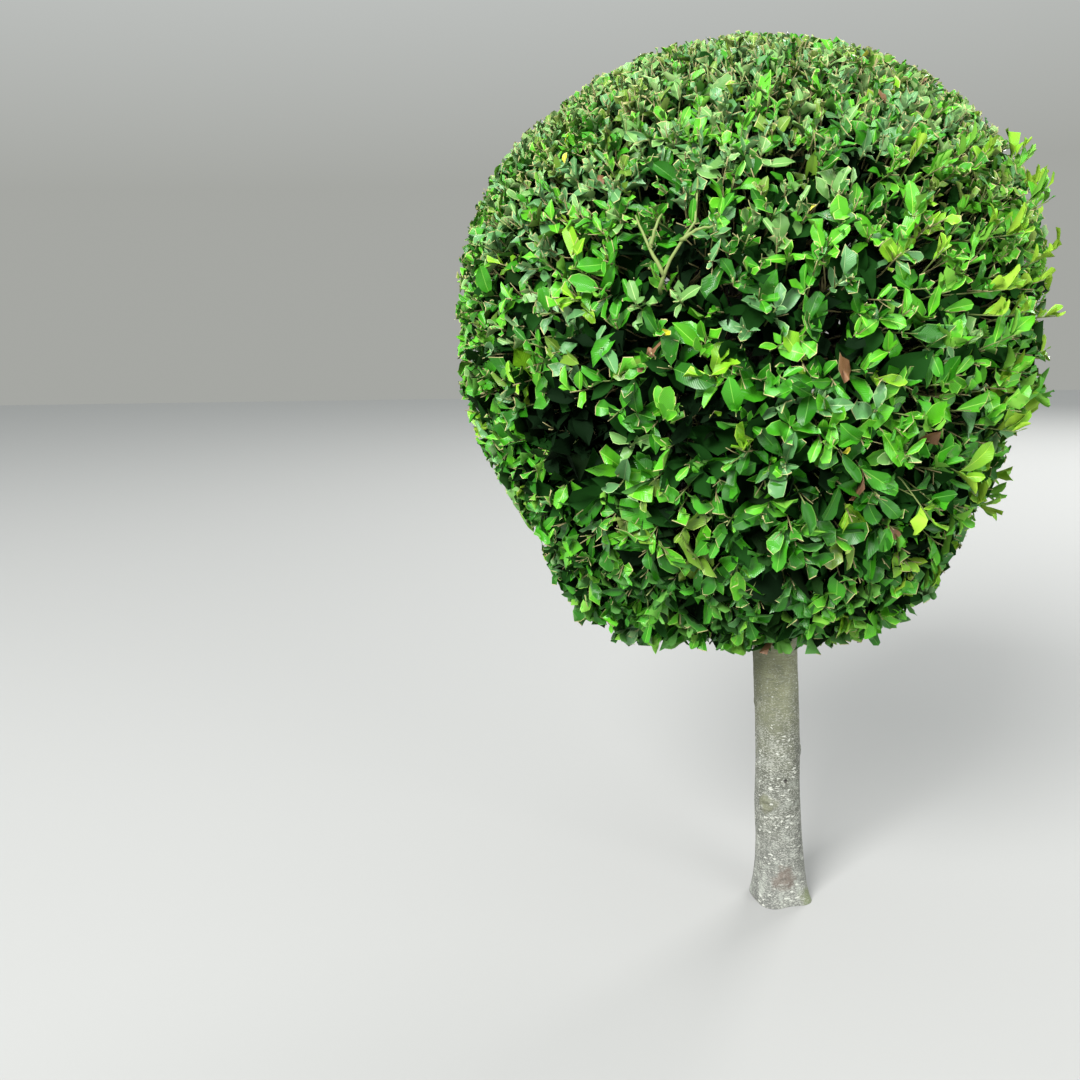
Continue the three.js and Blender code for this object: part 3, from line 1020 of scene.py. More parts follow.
# The bare fork of pale twigs at the front: turn, tilt, depth
bareFork = {
    "main": [
        (-1.76, 0.0, 0.045),
        (-1.745, 0.03, 0.018),
        (-1.72, 0.09, 0.008),
        (-1.65, 0.19, 0.006),
        (-1.65, 0.32, 0.012),
    ],
    "side": [(-1.738, 0.05, 0.014), (-1.765, 0.1, 0.01), (-1.79, 0.15, 0.006), (-1.83, 0.22, 0.01)],
    "short": [(-1.69, 0.14, 0.006), (-1.645, 0.165, 0.002), (-1.6, 0.175, 0.004)],
    "upright": [(-1.775, 0.125, 0.008), (-1.765, 0.17, 0.004), (-1.75, 0.22, 0.008)],
    "steps": 9,
    "sides": 8,
    "radius": (0.0042, 0.0019),
    "clearance": 0.0025,
    "scatter": 0.0009,
}


def forkPaths():
    paths = []
    for name in ("main", "side", "short", "upright"):
        places = [onFace(toward(turn, tilt), depth) for turn, tilt, depth in bareFork[name]]
        steps = np.linspace(0, len(places) - 1, bareFork["steps"])
        paths.append(resampled(places, np.arange(len(places)), steps))
    return np.array(paths) + chance.normal(0, bareFork["scatter"], np.shape(paths))


# One leaf, whose rows run from its stalk to its tip. The upper sheet may have a midrib strip and a
# pale strip along the rim, where the under sheet meets it
leaf = {
    "rows": (0.0, 0.07, 0.24, 0.48, 0.72, 0.9, 1.0),
    # columns of plain leaves and undersides, of leaves with a midrib and of leaves with a pale rim
    "plainSides": (-1.0, 0.0, 1.0),
    "ribSides": (-1.0, -0.01, 0.01, 1.0),
    "rimSides": (-1.0, -0.9, 0.0, 0.9, 1.0),
    "smallRows": (0, 2, 3, 5, 6),  # the rows that small leaves keep
    "fewRows": (0, 2, 3, 4, 6),  # and those of the smallest and the deepest
    # the pale rim strip is a painted edge highlight
    "rim": 0.0014,
    "rimLeast": 0.7,  # where a narrow leaf's rim starts, as a share of its half width
    "stalkHalf": 0.0011,
    "tipHalf": 0.0005,
    "ribHalf": 0.001,
    "ribTaper": 0.6,
    "ribMost": 0.6,
    "thickness": 0.0006,
    "cutEdge": 0.0015,
    "cutSlope": 0.8,
    "leastForward": 0.2,
    # ragged outline and wavy edges: waves along the leaf, and how far its two sides are out of step
    "frayPhase": 7,
    "frayWaves": 19,
    "fraySides": 2.3,
    "waves": 9,
    "waveSides": 1.1,
    "waveFrom": 0.004,  # half width
}


# A leaf's corners, as row, side and under or not, its triangles, and their slots, as upper side 0,
# midrib or rim 1 and underside 2, with a mark for the last row. Both sheets are split along the
# same lines, so that neither comes through the other
def leafTemplate(upperSides, underSides, rowsKept=range(len(leaf["rows"]))):
    rows = len(rowsKept)
    corners, faces, slots = [], [], []
    for under, sides in ((0, upperSides), (1, underSides)):
        columns = len(sides)
        sheet = bmesh.new()
        bmesh.ops.create_grid(sheet, x_segments=columns - 1, y_segments=rows - 1, size=0.5)
        start = len(corners)
        for corner in sheet.verts:
            column = round((corner.co.x + 0.5) * (columns - 1))
            row = round((corner.co.y + 0.5) * (rows - 1))
            corners.append((rowsKept[row], sides[column], under))
        for face in sheet.faces:
            ring = [start + corner.index for corner in face.verts]
            reaches = [abs(corners[c][1]) for c in ring]
            # midrib and rim strips take the pale slot; on the rim it is a painted edge highlight
            isPale = max(reaches) < 0.5 or min(reaches) > 0.5
            isEnd = min(corners[c][0] for c in ring) == len(leaf["rows"]) - 2
            first = min(range(4), key=lambda c: (corners[ring[c]][0], abs(corners[ring[c]][1])))
            ring = ring[first:] + ring[:first]
            for half in (ring[:3], [ring[0], ring[2], ring[3]]):
                faces.append(half[::-1] if under else half)
                slots.append((2 if under else 1 if isPale else 0, isEnd))
        sheet.free()
    return np.array(corners), np.array(faces), np.array(slots, int)


smallLeaf, ribLeaf, rimHighlightLeaf, plainLeaf = range(4)
leafShapes = [
    leafTemplate(leaf["ribSides"], leaf["plainSides"], leaf["smallRows"]),
    leafTemplate(leaf["ribSides"], leaf["plainSides"]),
    leafTemplate(leaf["rimSides"], leaf["plainSides"]),
    leafTemplate(leaf["plainSides"], leaf["plainSides"], leaf["fewRows"]),
]


def halfWidthAt(share, baseFall, tipFall):
    stalk = leaf["rows"][1]
    blade = np.clip((share - stalk) / (1 - stalk), 0, 1)
    whole = baseFall + tipFall
    peak = (baseFall / whole) ** baseFall * (tipFall / whole) ** tipFall
    return blade**baseFall * (1 - blade) ** tipFall / peak


# The corners of every leaf in an array of leaves
def leafPoints(leaves, corners):
    column = {name: values[:, None] for name, values in leaves.items()}
    row = corners[:, 0].astype(int)
    side = corners[None, :, 1]
    under = corners[None, :, 2]
    isCut = leaves["cutShare"] < 1
    rowShare = np.tile(leaf["rows"], (len(isCut), 1))
    rowShare[isCut, -2] = 1 - leaf["cutEdge"] / (leaves["length"] * leaves["cutShare"])[isCut]
    step = rowShare[:, row]
    share = step * column["cutShare"]
    half = halfWidthAt(share, column["baseFall"], column["tipFall"]) * column["width"] / 2
    phase = column["phase"] * leaf["frayPhase"]
    fray = np.sin(phase + step * leaf["frayWaves"] + np.sign(side) * leaf["fraySides"])
    half = half * (1 + column["ragged"] * fray)
    half = np.maximum(half, np.where(row[None] < 2, leaf["stalkHalf"], leaf["tipHalf"]))
    ribHalf = leaf["ribHalf"] * (1 - leaf["ribTaper"] * share)
    ribHalf = np.minimum(ribHalf, half * leaf["ribMost"])
    isSide = np.abs(side) > 0.5
    rimStart = np.maximum(half - leaf["rim"], half * leaf["rimLeast"])
    sideReach = np.where(np.abs(side) == 1, half, rimStart)
    across = np.sign(side) * np.where(isSide, sideReach, ribHalf)
    wave = np.sin(column["phase"] + step * leaf["waves"] + np.sign(side) * leaf["waveSides"])
    wave = column["wave"] * wave * (half > leaf["waveFrom"])
    inEnds = (row > 0) & (row < len(leaf["rows"]) - 1)
    sunk = leaf["thickness"] * under * inEnds * np.minimum(1, 2 - 2 * np.abs(side))
    lift = np.abs(across) * (np.sin(column["fold"]) + wave) - sunk
    across = across * np.cos(column["fold"])
    bend = column["bend"] + 1e-4  # never quite straight, as it is divided by
    nick = np.where(side < 0, column["nickLeft"], column["nickRight"]) * isSide * column["length"]
    skew = np.where(row[None] > len(leaf["rows"]) - 3, 1.0, step**5)
    cut = (column["slope"] * across - nick) * skew
    forward = np.sin(bend * share) / bend * column["length"] + cut
    fall = (np.cos(bend * share) - 1) / bend * column["length"]
    twist = (column["twist"] * share)[..., None]
    aside = np.cross(column["way"], column["normal"])
    curl = (bend * share)[..., None]
    upward = column["way"] * np.sin(curl) + column["normal"] * np.cos(curl)
    turnedAside = aside * np.cos(twist) + upward * np.sin(twist)
    turnedUp = upward * np.cos(twist) - aside * np.sin(twist)
    middle = column["base"] + column["way"] * forward[..., None]
    middle = middle + column["normal"] * fall[..., None]
    points = middle + turnedAside * across[..., None] + turnedUp * lift[..., None]
    past = np.maximum(column["clamp"] + sunk - depthInside(points), 0)
    return points - unit(points - ball["centre"]) * past[..., None]


def addLeaves(name, leaves, materials):
    points, loops, slots, leafMap = [], [], [], []
    taken = 0
    for shape, (corners, faces, faceSlots) in enumerate(leafShapes):
        chosen = {key: values[leaves["shape"] == shape] for key, values in leaves.items()}
        places = leafPoints(chosen, corners)
        count, size = places.shape[:2]
        points.append(places.reshape(-1, 3))
        loops.append((faces[None] + taken + np.arange(count)[:, None, None] * size).ravel())
        isCut = (chosen["cutShare"] < 1)[:, None]
        slot = np.where(isCut & (faceSlots[:, 1] > 0), 3, faceSlots[:, 0])
        slots.append(slot.ravel())
        rows = np.array(leaf["rows"])[corners[:, 0].astype(int)]
        flat = np.stack([corners[:, 1] / 2 + 0.5, rows], -1)[faces.ravel()]
        leafMap.append(np.tile(flat, (count, 1)))
        taken += count * size
    points, loops, slots, leafMap = map(np.concatenate, (points, loops, slots, leafMap))
    sizes = np.full(len(slots), 3)
    piece = joinedMesh(name, points, loops, sizes, slots, materials, leafMap)
    settle(piece, "foliage_ball")


# Leaves of a sprig, from the lowest to the youngest at its tip
foliage = {
    "perSprig": 7,
    "perInnerSprig": 4,
    "innerLength": 1.5,
    "coreLength": 2.35,
    "perShoot": 5,
    "crossWay": (0.31, 0.17, 0.94),
    "firstAt": 0.4,  # shares of the sprig's length
    "lastAt": 0.99,
    "alongScatter": 0.03,
    "lowSplay": 1.3,
    "topSplay": 0.45,
    "splayScatter": 0.25,
    "wayScatter": 0.24,
    "zones": (-0.7, 0, 0.9),  # heights of the ball's foot, middle and top, and the lengths there
    "lengths": (0.083, 0.052, 0.036),
    "lengthScatter": 0.34,
    "lengthRange": (0.022, 0.1),
    "youngest": 0.72,
    "slimness": (0.37, 0.57),
    "baseFall": (0.55, 0.85),
    "tipFall": (0.36, 0.8),
    "shapeOften": (0.72, 0.28),  # with a midrib, with a pale rim
    "plainDepth": 0.055,  # deeper or shorter ones have no midrib
    "plainLength": 0.03,
    "smallLength": 0.05,
    "droopLow": 0.8,  # and the slope and start at which it sets in with height
    "droopRamp": (-2, -0.8),
    "tipsUp": 0.28,
    "tipsUpRamp": (3, 1.8),
    "shootSplay": 0.55,
    "shootUp": 0.5,
    "faceOut": 0.45,  # how far the upper sides turn outwards and up
    "faceUp": 0.3,
    "faceScatter": 0.46,
    "bend": (-0.15, 0.7),
    "fold": (0.15, 0.9),
    "wave": (0.1, 0.6),
    "ragged": (0.02, 0.2),
    "twist": 0.4,
    "nick": (-0.06, 0.24),
    "tornOften": (0.16, 0.4, 0.45),  # in the three zones
    "tornShare": (0.35, 0.88),
    "tornDepth": 0.05,
    "cutOften": 0.85,
    "cutOftenLow": 0.15,
    "cutRamp": (1.5, 0.9),
    "tries": (0.2, 1, 25),  # shares of its length at which a leaf is held against the face
    "wholeFrom": 0.97,  # a leaf that fits this far counts as whole
    "cutLeast": 0.3,
    "wholeLeast": 0.62,
    "clipDepth": (-0.004, 0.012),
    "clampDepth": (-0.005, 0.003),
    "shootReach": 0.045,
    "hangReach": 0.05,
    "hangBelow": -0.78,
    "hangFade": 0.12,
    "limbRoom": 0.008,
    "trunkRoom": 0.069,
    "trunkRoomBelow": 0.94,
}


def growLeaves(grown, perSprig, longer=1.0):
    count = len(grown["roots"])
    size = (count, perSprig)
    k = np.arange(perSprig)
    share = k / (perSprig - 1)
    heading = grown["headings"][:, None]
    along = lerp(foliage["firstAt"], foliage["lastAt"], share)
    along = along + chance.normal(0, foliage["alongScatter"], size)
    along = grown["length"][:, None] * np.minimum(along, 1)
    base = grown["roots"][:, None] + heading * along[..., None]
    side = unit(np.cross(grown["headings"], foliage["crossWay"]))
    over = np.cross(grown["headings"], side)
    turn = (chance.uniform(0, fullTurn, (count, 1)) + k * goldenAngle)[..., None]
    away = side[:, None] * np.cos(turn) + over[:, None] * np.sin(turn)
    splay = lerp(foliage["lowSplay"], foliage["topSplay"], share)
    splay = splay + chance.normal(0, foliage["splayScatter"], size)
    splay *= np.where(grown["shoot"], foliage["shootSplay"], 1.0)[:, None]
    splay = splay[..., None]
    way = heading * np.cos(splay) + away * np.sin(splay)
    normal = heading * np.sin(splay) - away * np.cos(splay)
    height = grown["directions"][:, 2:3]
    way = way + chance.normal(0, foliage["wayScatter"], way.shape)
    way[..., 2] -= foliage["droopLow"] * ramp(height, *foliage["droopRamp"])
    way[..., 2] += foliage["tipsUp"] * ramp(height, *foliage["tipsUpRamp"])
    way[..., 2] += foliage["shootUp"] * grown["shoot"][:, None]
    way = unit(way)
    normal = normal + grown["normals"][:, None] * foliage["faceOut"]
    normal = normal + chance.normal(0, foliage["faceScatter"], way.shape)
    normal[..., 2] += foliage["faceUp"]
    normal = unit(normal - way * np.sum(way * normal, axis=-1, keepdims=True))
    length = np.interp(height, foliage["zones"], foliage["lengths"])
    length = length * (1 + chance.normal(0, foliage["lengthScatter"], size)) * longer
    length = length * lerp(1, foliage["youngest"], share**2)
    shortest, longest = foliage["lengthRange"]
    total = count * perSprig
    leaves = {
        "base": base.reshape(-1, 3),
        "way": way.reshape(-1, 3),
        "normal": normal.reshape(-1, 3),
        "length": np.clip(length, shortest, longest * longer).ravel(),
        "sprig": np.repeat(np.arange(count), perSprig),
        "phase": chance.uniform(0, fullTurn, total),
        "twist": chance.normal(0, foliage["twist"], total),
        "shape": chance.choice((ribLeaf, rimHighlightLeaf), total, p=foliage["shapeOften"]),
        "spare": (grown["shoot"][:, None] & (k < perSprig - foliage["perShoot"])).ravel(),
    }
    leaves["depth"] = depthInside(leaves["base"])
    isRib = leaves["shape"] == ribLeaf
    isDeep = leaves["depth"] > foliage["plainDepth"]
    isPlain = isDeep | (leaves["length"] < foliage["plainLength"])
    leaves["shape"][isRib & (leaves["length"] < foliage["smallLength"])] = smallLeaf
    leaves["shape"][isRib & isPlain] = plainLeaf
    leaves["width"] = leaves["length"] * chance.uniform(*foliage["slimness"], total)
    for name in ("bend", "fold", "wave", "ragged", "baseFall", "tipFall"):
        leaves[name] = chance.uniform(*foliage[name], total)
    for name in ("nickLeft", "nickRight"):
        leaves[name] = chance.uniform(*foliage["nick"], total)
    return clipped(leaves, grown)


# How near each leaf's spots come to some points
def gapTo(points, spots):
    return np.linalg.norm(spots[:, :, None] - points[None, None], axis=-1).min(axis=2)


# A leaf that reaches past the face is cut there by the shears, or is a shorter one, or is left out
def clipped(leaves, grown):
    sprig = leaves["sprig"]
    total = len(sprig)
    shoot = grown["shoot"][sprig]
    height = grown["directions"][sprig, 2]
    low = np.clip((foliage["hangBelow"] - height) / foliage["hangFade"], 0, 1)
    slack = shoot * foliage["shootReach"] + low * foliage["hangReach"] * chance.random(total)
    plane = chance.uniform(*foliage["clipDepth"], total) - slack
    leaves["clamp"] = chance.uniform(*foliage["clampDepth"], total) - slack
    shares = np.linspace(*foliage["tries"])
    run = leaves["length"][:, None] * shares
    reach = leaves["base"][:, None] + leaves["way"][:, None] * run[..., None]
    fall = leaves["bend"][:, None] * shares**2 / 2 * leaves["length"][:, None]
    reach = reach - leaves["normal"][:, None] * fall[..., None]
    inside = depthInside(reach) > plane[:, None]
    firstOut = np.argmin(inside, axis=1)
    limit = np.where(inside.all(axis=1), 1.0, np.where(firstOut > 0, shares[firstOut - 1], 0.0))
    often = lerp(foliage["cutOftenLow"], foliage["cutOften"], ramp(height, *foliage["cutRamp"]))
    isCut = (limit < foliage["wholeFrom"]) & (chance.random(total) < often) & ~shoot
    often = np.interp(height, foliage["zones"], foliage["tornOften"])
    isWhole = limit > foliage["wholeFrom"]
    torn = (chance.random(total) < often) & ~shoot & ~isCut & isWhole
    torn &= depthInside(reach[:, -1]) < foliage["tornDepth"]
    isCut |= torn
    limit = np.where(torn, chance.uniform(*foliage["tornShare"], total), limit)
    leaves["cutShare"] = np.where(isCut, limit, 1.0)
    shorter = np.where(isCut | isWhole, 1.0, limit)
    leaves["length"] = leaves["length"] * shorter
    leaves["width"] = leaves["width"] * shorter
    normal = grown["normals"][sprig]
    aside = np.cross(leaves["way"], leaves["normal"])
    forward = np.sum(normal * leaves["way"], axis=1)
    slope = -np.sum(normal * aside, axis=1) / np.maximum(forward, leaf["leastForward"])
    slope = np.where(torn, chance.normal(0, leaf["cutSlope"] / 2, total), slope)
    leaves["slope"] = np.where(isCut, np.clip(slope, -leaf["cutSlope"], leaf["cutSlope"]), 0)
    for name in ("nickLeft", "nickRight"):
        leaves[name] = leaves[name] * isCut
    least = np.where(isCut, foliage["cutLeast"], foliage["wholeLeast"])
    keep = (limit > least) & ~leaves["spare"]
    spots = reach[:, ::6]  # five along the leaf
    trunkSide = np.hypot(spots[..., 0] - leanAt(ball["hollowFoot"]), spots[..., 1])
    isLow = spots[..., 2] < foliage["trunkRoomBelow"]
    keep &= ~((trunkSide < foliage["trunkRoom"]) & isLow).any(axis=1)
    for path, radius in boughPaths.values():
        keep &= ~(gapTo(path[::4], spots) < radius + foliage["limbRoom"]).any(axis=1)
    keep &= ~(gapTo(bareTwigs.reshape(-1, 3), spots) < bareFork["clearance"]).any(axis=1)
    return {name: values[keep] for name, values in leaves.items()}


bareTwigs = forkPaths()
mainPaths = np.array([path[::2] for path, radius in boughPaths.values()])
branches = growLevel(mainPaths, limbs["branch"])
stems = growLevel(branches, limbs["stem"])
outer = growSprigs(sprigs["count"], sprigs["shell"], 0.0)
inner = growSprigs(sprigs["innerCount"], sprigs["innerShell"], sprigs["innerDepth"])
core = growSprigs(sprigs["coreCount"], sprigs["coreShell"], sprigs["coreDepth"])
outerTwigs = twigPaths(stems, outer)
innerTwigs = np.concatenate([twigPaths(stems, inner), twigPaths(stems, core)])
print("sprigs grown:", len(outer["roots"]), "and", len(inner["roots"]), "further in")


# Short leafless twigs that end at the clipped face
def stubPaths(grown):
    count = limbs["stubCount"]
    chosen = chance.permutation(len(grown["roots"]))[:count]
    share = chance.uniform(*limbs["stubFrom"], (count, 1))
    starts = lerp(grown["roots"][chosen], grown["tips"][chosen], share)
    scatter = chance.normal(0, limbs["stubScatter"], (count, 3))
    ways = unit(grown["headings"][chosen] + scatter)
    shortest, longest = limbs["stubLength"]
    reach = np.maximum(depthInside(starts), shortest) + chance.uniform(*limbs["stubProud"], count)
    ends = starts + ways * np.minimum(reach, longest)[:, None]
    endWays = unit(ways + np.array([0, 0, limbs["stubUp"]]))
    return bentPaths(starts, ways, ends, endWays, limbs["stubSteps"])


def addWood():
    materials = []
    for name in ("oldAndShade", "tan", "green", "cut"):
        materials.append(plainMaterial(f"{name} twig wood", wood[name], wood["roughness"])[0])
    oldAndShade, tan, green, cut = range(4)
    fresh = outer["shoot"] | (chance.random(len(outer["shoot"])) < wood["greenOften"])
    within = [
        # branches and stems inside the ball take the dark wood: partly old bark, partly painted
        # shade
        (branches, limbs["branchRadius"], wood["branchSides"], oldAndShade, oldAndShade),
        (stems, limbs["stemRadius"], wood["stemSides"], oldAndShade, oldAndShade),
    ]
    joinedTubes("inner_limbs", within, materials)
    sides = wood["twigSides"]
    twigs = [
        (outerTwigs[~fresh], limbs["twigRadius"], sides, tan, cut),
        (outerTwigs[fresh], limbs["twigRadius"], sides, green, cut),
        (innerTwigs, limbs["twigRadius"], sides, tan, cut),
        (stubPaths(outer), limbs["stubRadius"], sides, tan, cut),
        (bareTwigs, bareFork["radius"], bareFork["sides"], green, cut),
    ]
    joinedTubes("twigs", twigs, materials)


addWood()
print("limbs and twigs made")

# Leaf tints, which are dealt out by sprig: upper side, midrib and underside
tints = {
    "deep": ((0.013, 0.105, 0.003), (0.07, 0.22, 0.025), (0.04, 0.14, 0.02)),
    "mid": ((0.036, 0.225, 0.008), (0.15, 0.39, 0.045), (0.08, 0.24, 0.03)),
    "fresh": ((0.07, 0.32, 0.011), (0.26, 0.54, 0.06), (0.14, 0.36, 0.035)),
    # sheen grey and pale green: painted sky sheen, dealt mostly to the top and left
    "sheenGrey": ((0.075, 0.21, 0.065), (0.25, 0.4, 0.16), (0.16, 0.3, 0.11)),
    "pale": ((0.115, 0.26, 0.062), (0.32, 0.48, 0.17), (0.22, 0.36, 0.12)),
    "young": ((0.145, 0.35, 0.012), (0.34, 0.54, 0.05), (0.24, 0.42, 0.03)),
    "olive": ((0.1, 0.2, 0.018), (0.25, 0.34, 0.07), (0.17, 0.25, 0.05)),
    "yellow": ((0.46, 0.44, 0.02), (0.55, 0.5, 0.08), (0.45, 0.42, 0.05)),
    "brown": ((0.18, 0.09, 0.04), (0.19, 0.1, 0.05), (0.17, 0.085, 0.04)),
    # leaves in the shade of the others, darker partly with age and partly with painted shade
    "shade": ((0.006, 0.035, 0.004), (0.01, 0.04, 0.006), (0.01, 0.036, 0.006)),
    # near black for leaves in the core and the gaps: painted shade
    "dark": ((0.002, 0.009, 0.002), (0.003, 0.01, 0.002), (0.003, 0.01, 0.002)),
}
tintNames = list(tints)
leafLook = {
    "cut": (0.36, 0.34, 0.15),  # colour of the cut edges
    # roughness
    "upper": 0.3,
    "rib": 0.45,
    "under": 0.6,
    "dull": 0.8,  # of the cut edges and the shaded leaves
    # specular level of the leaves and of what is dull
    "level": 0.34,
    "dullLevel": 0.05,
}
veins = {
    "count": 9.0,
    "slant": 0.4,
    "sharpness": 5.0,
    "bump": 0.4,
    "upperHeight": 0.0007,
    "underHeight": 0.0004,
}


# Side veins that leave the midrib at a slant, read from the leaf's own map
def veinGroup():
    group, inlet, outlet = newGroup("side veins", {"Count": veins["count"]}, "Height")
    leafMap = addNode(group, "UVMap")
    leafMap.uv_map = "leafMap"
    parts = addNode(group, "SeparateXYZ", Vector=leafMap.outputs["UV"])
    across = maths(group, "ABSOLUTE", maths(group, "SUBTRACT", parts.outputs["X"], 0.5))
    along = maths(group, "SUBTRACT", parts.outputs["Y"], product(group, across, veins["slant"]))
    turns = product(group, product(group, along, inlet.outputs["Count"]), fullTurn)
    crest = maths(group, "ABSOLUTE", maths(group, "SINE", turns))
    group.links.new(maths(group, "POWER", crest, veins["sharpness"]), outlet.inputs["Height"])
    return group


sideVeins = veinGroup()


def leafMaterial(name, colour, roughness, veinHeight=0.0):
    material, tree, shader = plainMaterial(name, colour, roughness)
    level = leafLook["dullLevel" if roughness == leafLook["dull"] else "level"]
    shader.inputs["Specular IOR Level"].default_value = level
    if veinHeight:
        height = addGroup(tree, sideVeins).outputs["Height"]
        addBump(tree, shader, height, veins["bump"], veinHeight)
    return material


cutEdge = leafMaterial("cut leaf edge", leafLook["cut"], leafLook["dull"])


# Upper side, midrib, underside and cut edge
def leafMaterials(tint):
    upper, rib, under = tints[tint]
    if tint in ("shade", "dark"):
        parts = {"upper": upper, "rib": rib, "under": under, "edge": under}
        return [leafMaterial(f"{tint} {part}", parts[part], leafLook["dull"]) for part in parts]
    return [
        leafMaterial(f"{tint} leaf", upper, leafLook["upper"], veins["upperHeight"]),
        leafMaterial(f"{tint} midrib", rib, leafLook["rib"]),
        leafMaterial(f"{tint} underside", under, leafLook["under"], veins["underHeight"]),
        cutEdge,
    ]


# How the tints are dealt out
deal = {
    # how often each: its usual share, and what the ball's top, foot, left and right add
    "shares": {
        # painted shade: more deep green at the foot and less at the top darken the ball's underside
        "deep": (0.18, -0.18, 0.45, 0.0, 0.0),
        "mid": (0.32, -0.1, -0.08, 0.0, 0.0),
        "fresh": (0.3, -0.16, -0.14, 0.0, 0.12),
        # the sheen grey and pale green added at the top and left are painted sky sheen
        "sheenGrey": (0.06, 0.3, -0.02, 0.12, 0.0),
        "pale": (0.01, 0.5, -0.01, 0.07, 0.0),
        "young": (0.025, -0.01, 0.0, 0.0, 0.07),
        "olive": (0.035, 0.16, -0.03, 0.0, 0.0),
    },
    # where these four set in, as slope and start
    "top": (1.3, 0.0),
    "foot": (-2.2, -0.8),
    "left": (-1.0, 0.0),
    "right": (1.4, -0.3),
    "shoot": (0.0, 0.06, 0.34, 0.0, 0.0, 0.6, 0.0),  # how often each in a young shoot
    "greens": 3,  # the first three, between which a leaf may change
    "change": 0.22,  # and how often it takes another than its sprig's
    "strays": {"yellow": 0.0012, "brown": 0.0025},  # single leaves among the rest
    # faded leaves at their own place: turn, tilt, how many, tint
    "faded": [(-1.8, -0.17, 4, "brown"), (-2.18, 0.46, 2, "yellow"), (2.0, 0.2, 3, "brown")],
    # painted shade on leaves deep in the ball: from what depth, and how often each takes the
    # shade's green
    "paintedShade": [(0.055, 0.25), (0.068, 0.7), (0.085, 1.0)],
    "paintedShadeTop": 0.02,  # how much deeper they lie in the sunlit top
    "paintedDarkWidth": 1.2,  # how far the dark of a gap reaches, in widths of the gap
    "pieceLeaves": 2812,  # leaves in a piece, so that the largest has about 140,000 triangles
}


def dealTints(grown):
    x, z = grown["directions"][:, 0], grown["directions"][:, 2]
    shares = [0 * z + 1]
    for side, value in (("top", z), ("foot", z), ("left", x), ("right", x)):
        shares.append(ramp(value, *deal[side]))
    weights = np.stack(shares, -1) @ np.array(list(deal["shares"].values())).T
    weights[grown["shoot"]] = deal["shoot"]
    weights = np.cumsum(weights, axis=1)
    drawn = chance.random((len(z), 1)) * weights[:, -1:]
    return np.argmax(weights > drawn, axis=1)


def outerTints(leaves):
    count = len(leaves["base"])
    tint = dealTints(outer)[leaves["sprig"]]
    changed = (chance.random(count) < deal["change"]) & (tint < deal["greens"])
    tint = np.where(changed, chance.integers(0, deal["greens"], count), tint)
    for name, often in deal["strays"].items():
        tint[chance.random(count) < often] = tintNames.index(name)
    for turn, tilt, number, name in deal["faded"]:
        away = np.linalg.norm(leaves["base"] - onFace(toward(turn, tilt), 0.0), axis=1)
        tint[np.argsort(away)[:number]] = tintNames.index(name)
    # painted shade: leaves deep in the ball take the shade's green
    height = outer["directions"][leaves["sprig"], 2]
    deeper = leaves["depth"] - deal["paintedShadeTop"] * ramp(height, 2)
    for depth, often in deal["paintedShade"]:
        tint[(deeper > depth) & (chance.random(count) < often)] = tintNames.index("shade")
    return tint


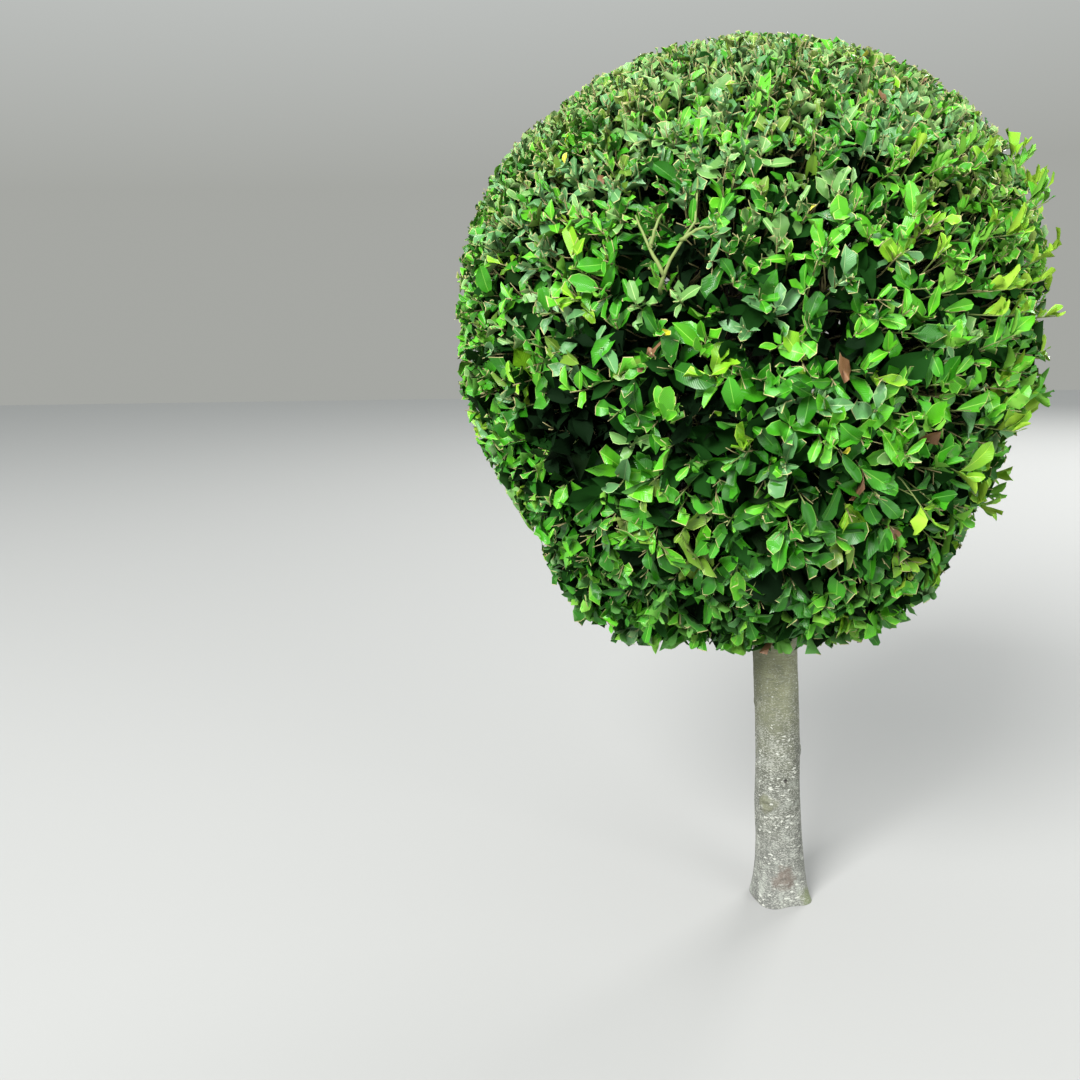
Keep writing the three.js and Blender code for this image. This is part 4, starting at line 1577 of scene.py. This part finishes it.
def addFoliage():
    outerLeaves = growLeaves(outer, foliage["perSprig"])
    innerLeaves = growLeaves(inner, foliage["perInnerSprig"], foliage["innerLength"])
    coreLeaves = growLeaves(core, foliage["perInnerSprig"], foliage["coreLength"])
    shade, dark = tintNames.index("shade"), tintNames.index("dark")
    layers = [outerLeaves, innerLeaves, coreLeaves]
    leaves = {name: np.concatenate([layer[name] for layer in layers]) for name in outerLeaves}
    # painted shade: the inner layer takes the shade's green
    tint = np.full(len(leaves["base"]), shade)
    tint[: len(outerLeaves["base"])] = outerTints(outerLeaves)
    # painted shade: the core's leaves and the deep leaves at the gaps turn near black
    tint[-len(coreLeaves["base"]) :] = dark
    ways = unit(leaves["base"] - ball["centre"])
    isDeep = leaves["depth"] > sprigs["shell"] / 2
    for turn, tilt, width, _ in sprigs["gaps"]:
        isNear = angleFrom(ways, turn, tilt) < width * deal["paintedDarkWidth"]
        tint[isNear & isDeep] = dark
    leaves["shape"][tint >= shade] = plainLeaf
    most = deal["pieceLeaves"]
    for index, name in enumerate(tintNames):
        chosen = np.flatnonzero(tint == index)
        materials = leafMaterials(name)
        for part, start in enumerate(range(0, len(chosen), most)):
            some = chosen[start : start + most]
            batch = {key: values[some] for key, values in leaves.items()}
            addLeaves(f"{name}_leaves_{part + 1}", batch, materials)
    print("leaves made:", len(tint))


addFoliage()

# Plain studio: pale floor, bright even surroundings and three large soft lamps
studio = {
    "floorColour": (0.28, 0.28, 0.272),
    "floorRoughness": 0.9,
    "floorSize": 30.0,
    "zenith": (1.05, 1.11, 1.13),
    "horizon": (0.38, 0.388, 0.365),
    "skyRange": (0.1, 0.9),  # where the horizon's light gives way to the zenith's
    # place, size, power
    "key": ((-5.0, -12.2, 10.4), 7.2, 6100.0),
    "fill": ((9.0, -7.5, 4.2), 7.0, 950.0),
    "back": ((4.0, 9.0, 6.5), 5.0, 1000.0),
    "aim": (-0.1, 0.0, 1.3),
}


def addLamp(name):
    place, size, power = studio[name]
    data = bpy.data.lights.new(name, "AREA")
    data.size = size
    data.energy = power
    aim = (Vector(studio["aim"]) - Vector(place)).to_track_quat("-Z", "Y")
    linked(name, data).matrix_world = Matrix.Translation(place) @ aim.to_matrix().to_4x4()


def addStudio():
    shape = bmesh.new()
    bmesh.ops.create_grid(shape, x_segments=1, y_segments=1, size=studio["floorSize"] / 2)
    pale = plainMaterial("pale floor", studio["floorColour"], studio["floorRoughness"])[0]
    shaped("floor", shape, pale)
    world = bpy.data.worlds.new("sky")
    world.use_nodes = True
    sky = world.node_tree
    parts = addNode(sky, "SeparateXYZ", Vector=addNode(sky, "TexCoord").outputs["Generated"])
    rise = ranged(sky, parts.outputs["Z"], *studio["skyRange"])
    colour = blended(sky, rise, studio["horizon"], studio["zenith"])
    sky.links.new(colour, sky.nodes["Background"].inputs["Color"])
    scene.world = world
    for name in ("key", "fill", "back"):
        addLamp(name)
    scene.view_settings.view_transform = "Standard"


addStudio()
print("studio made")
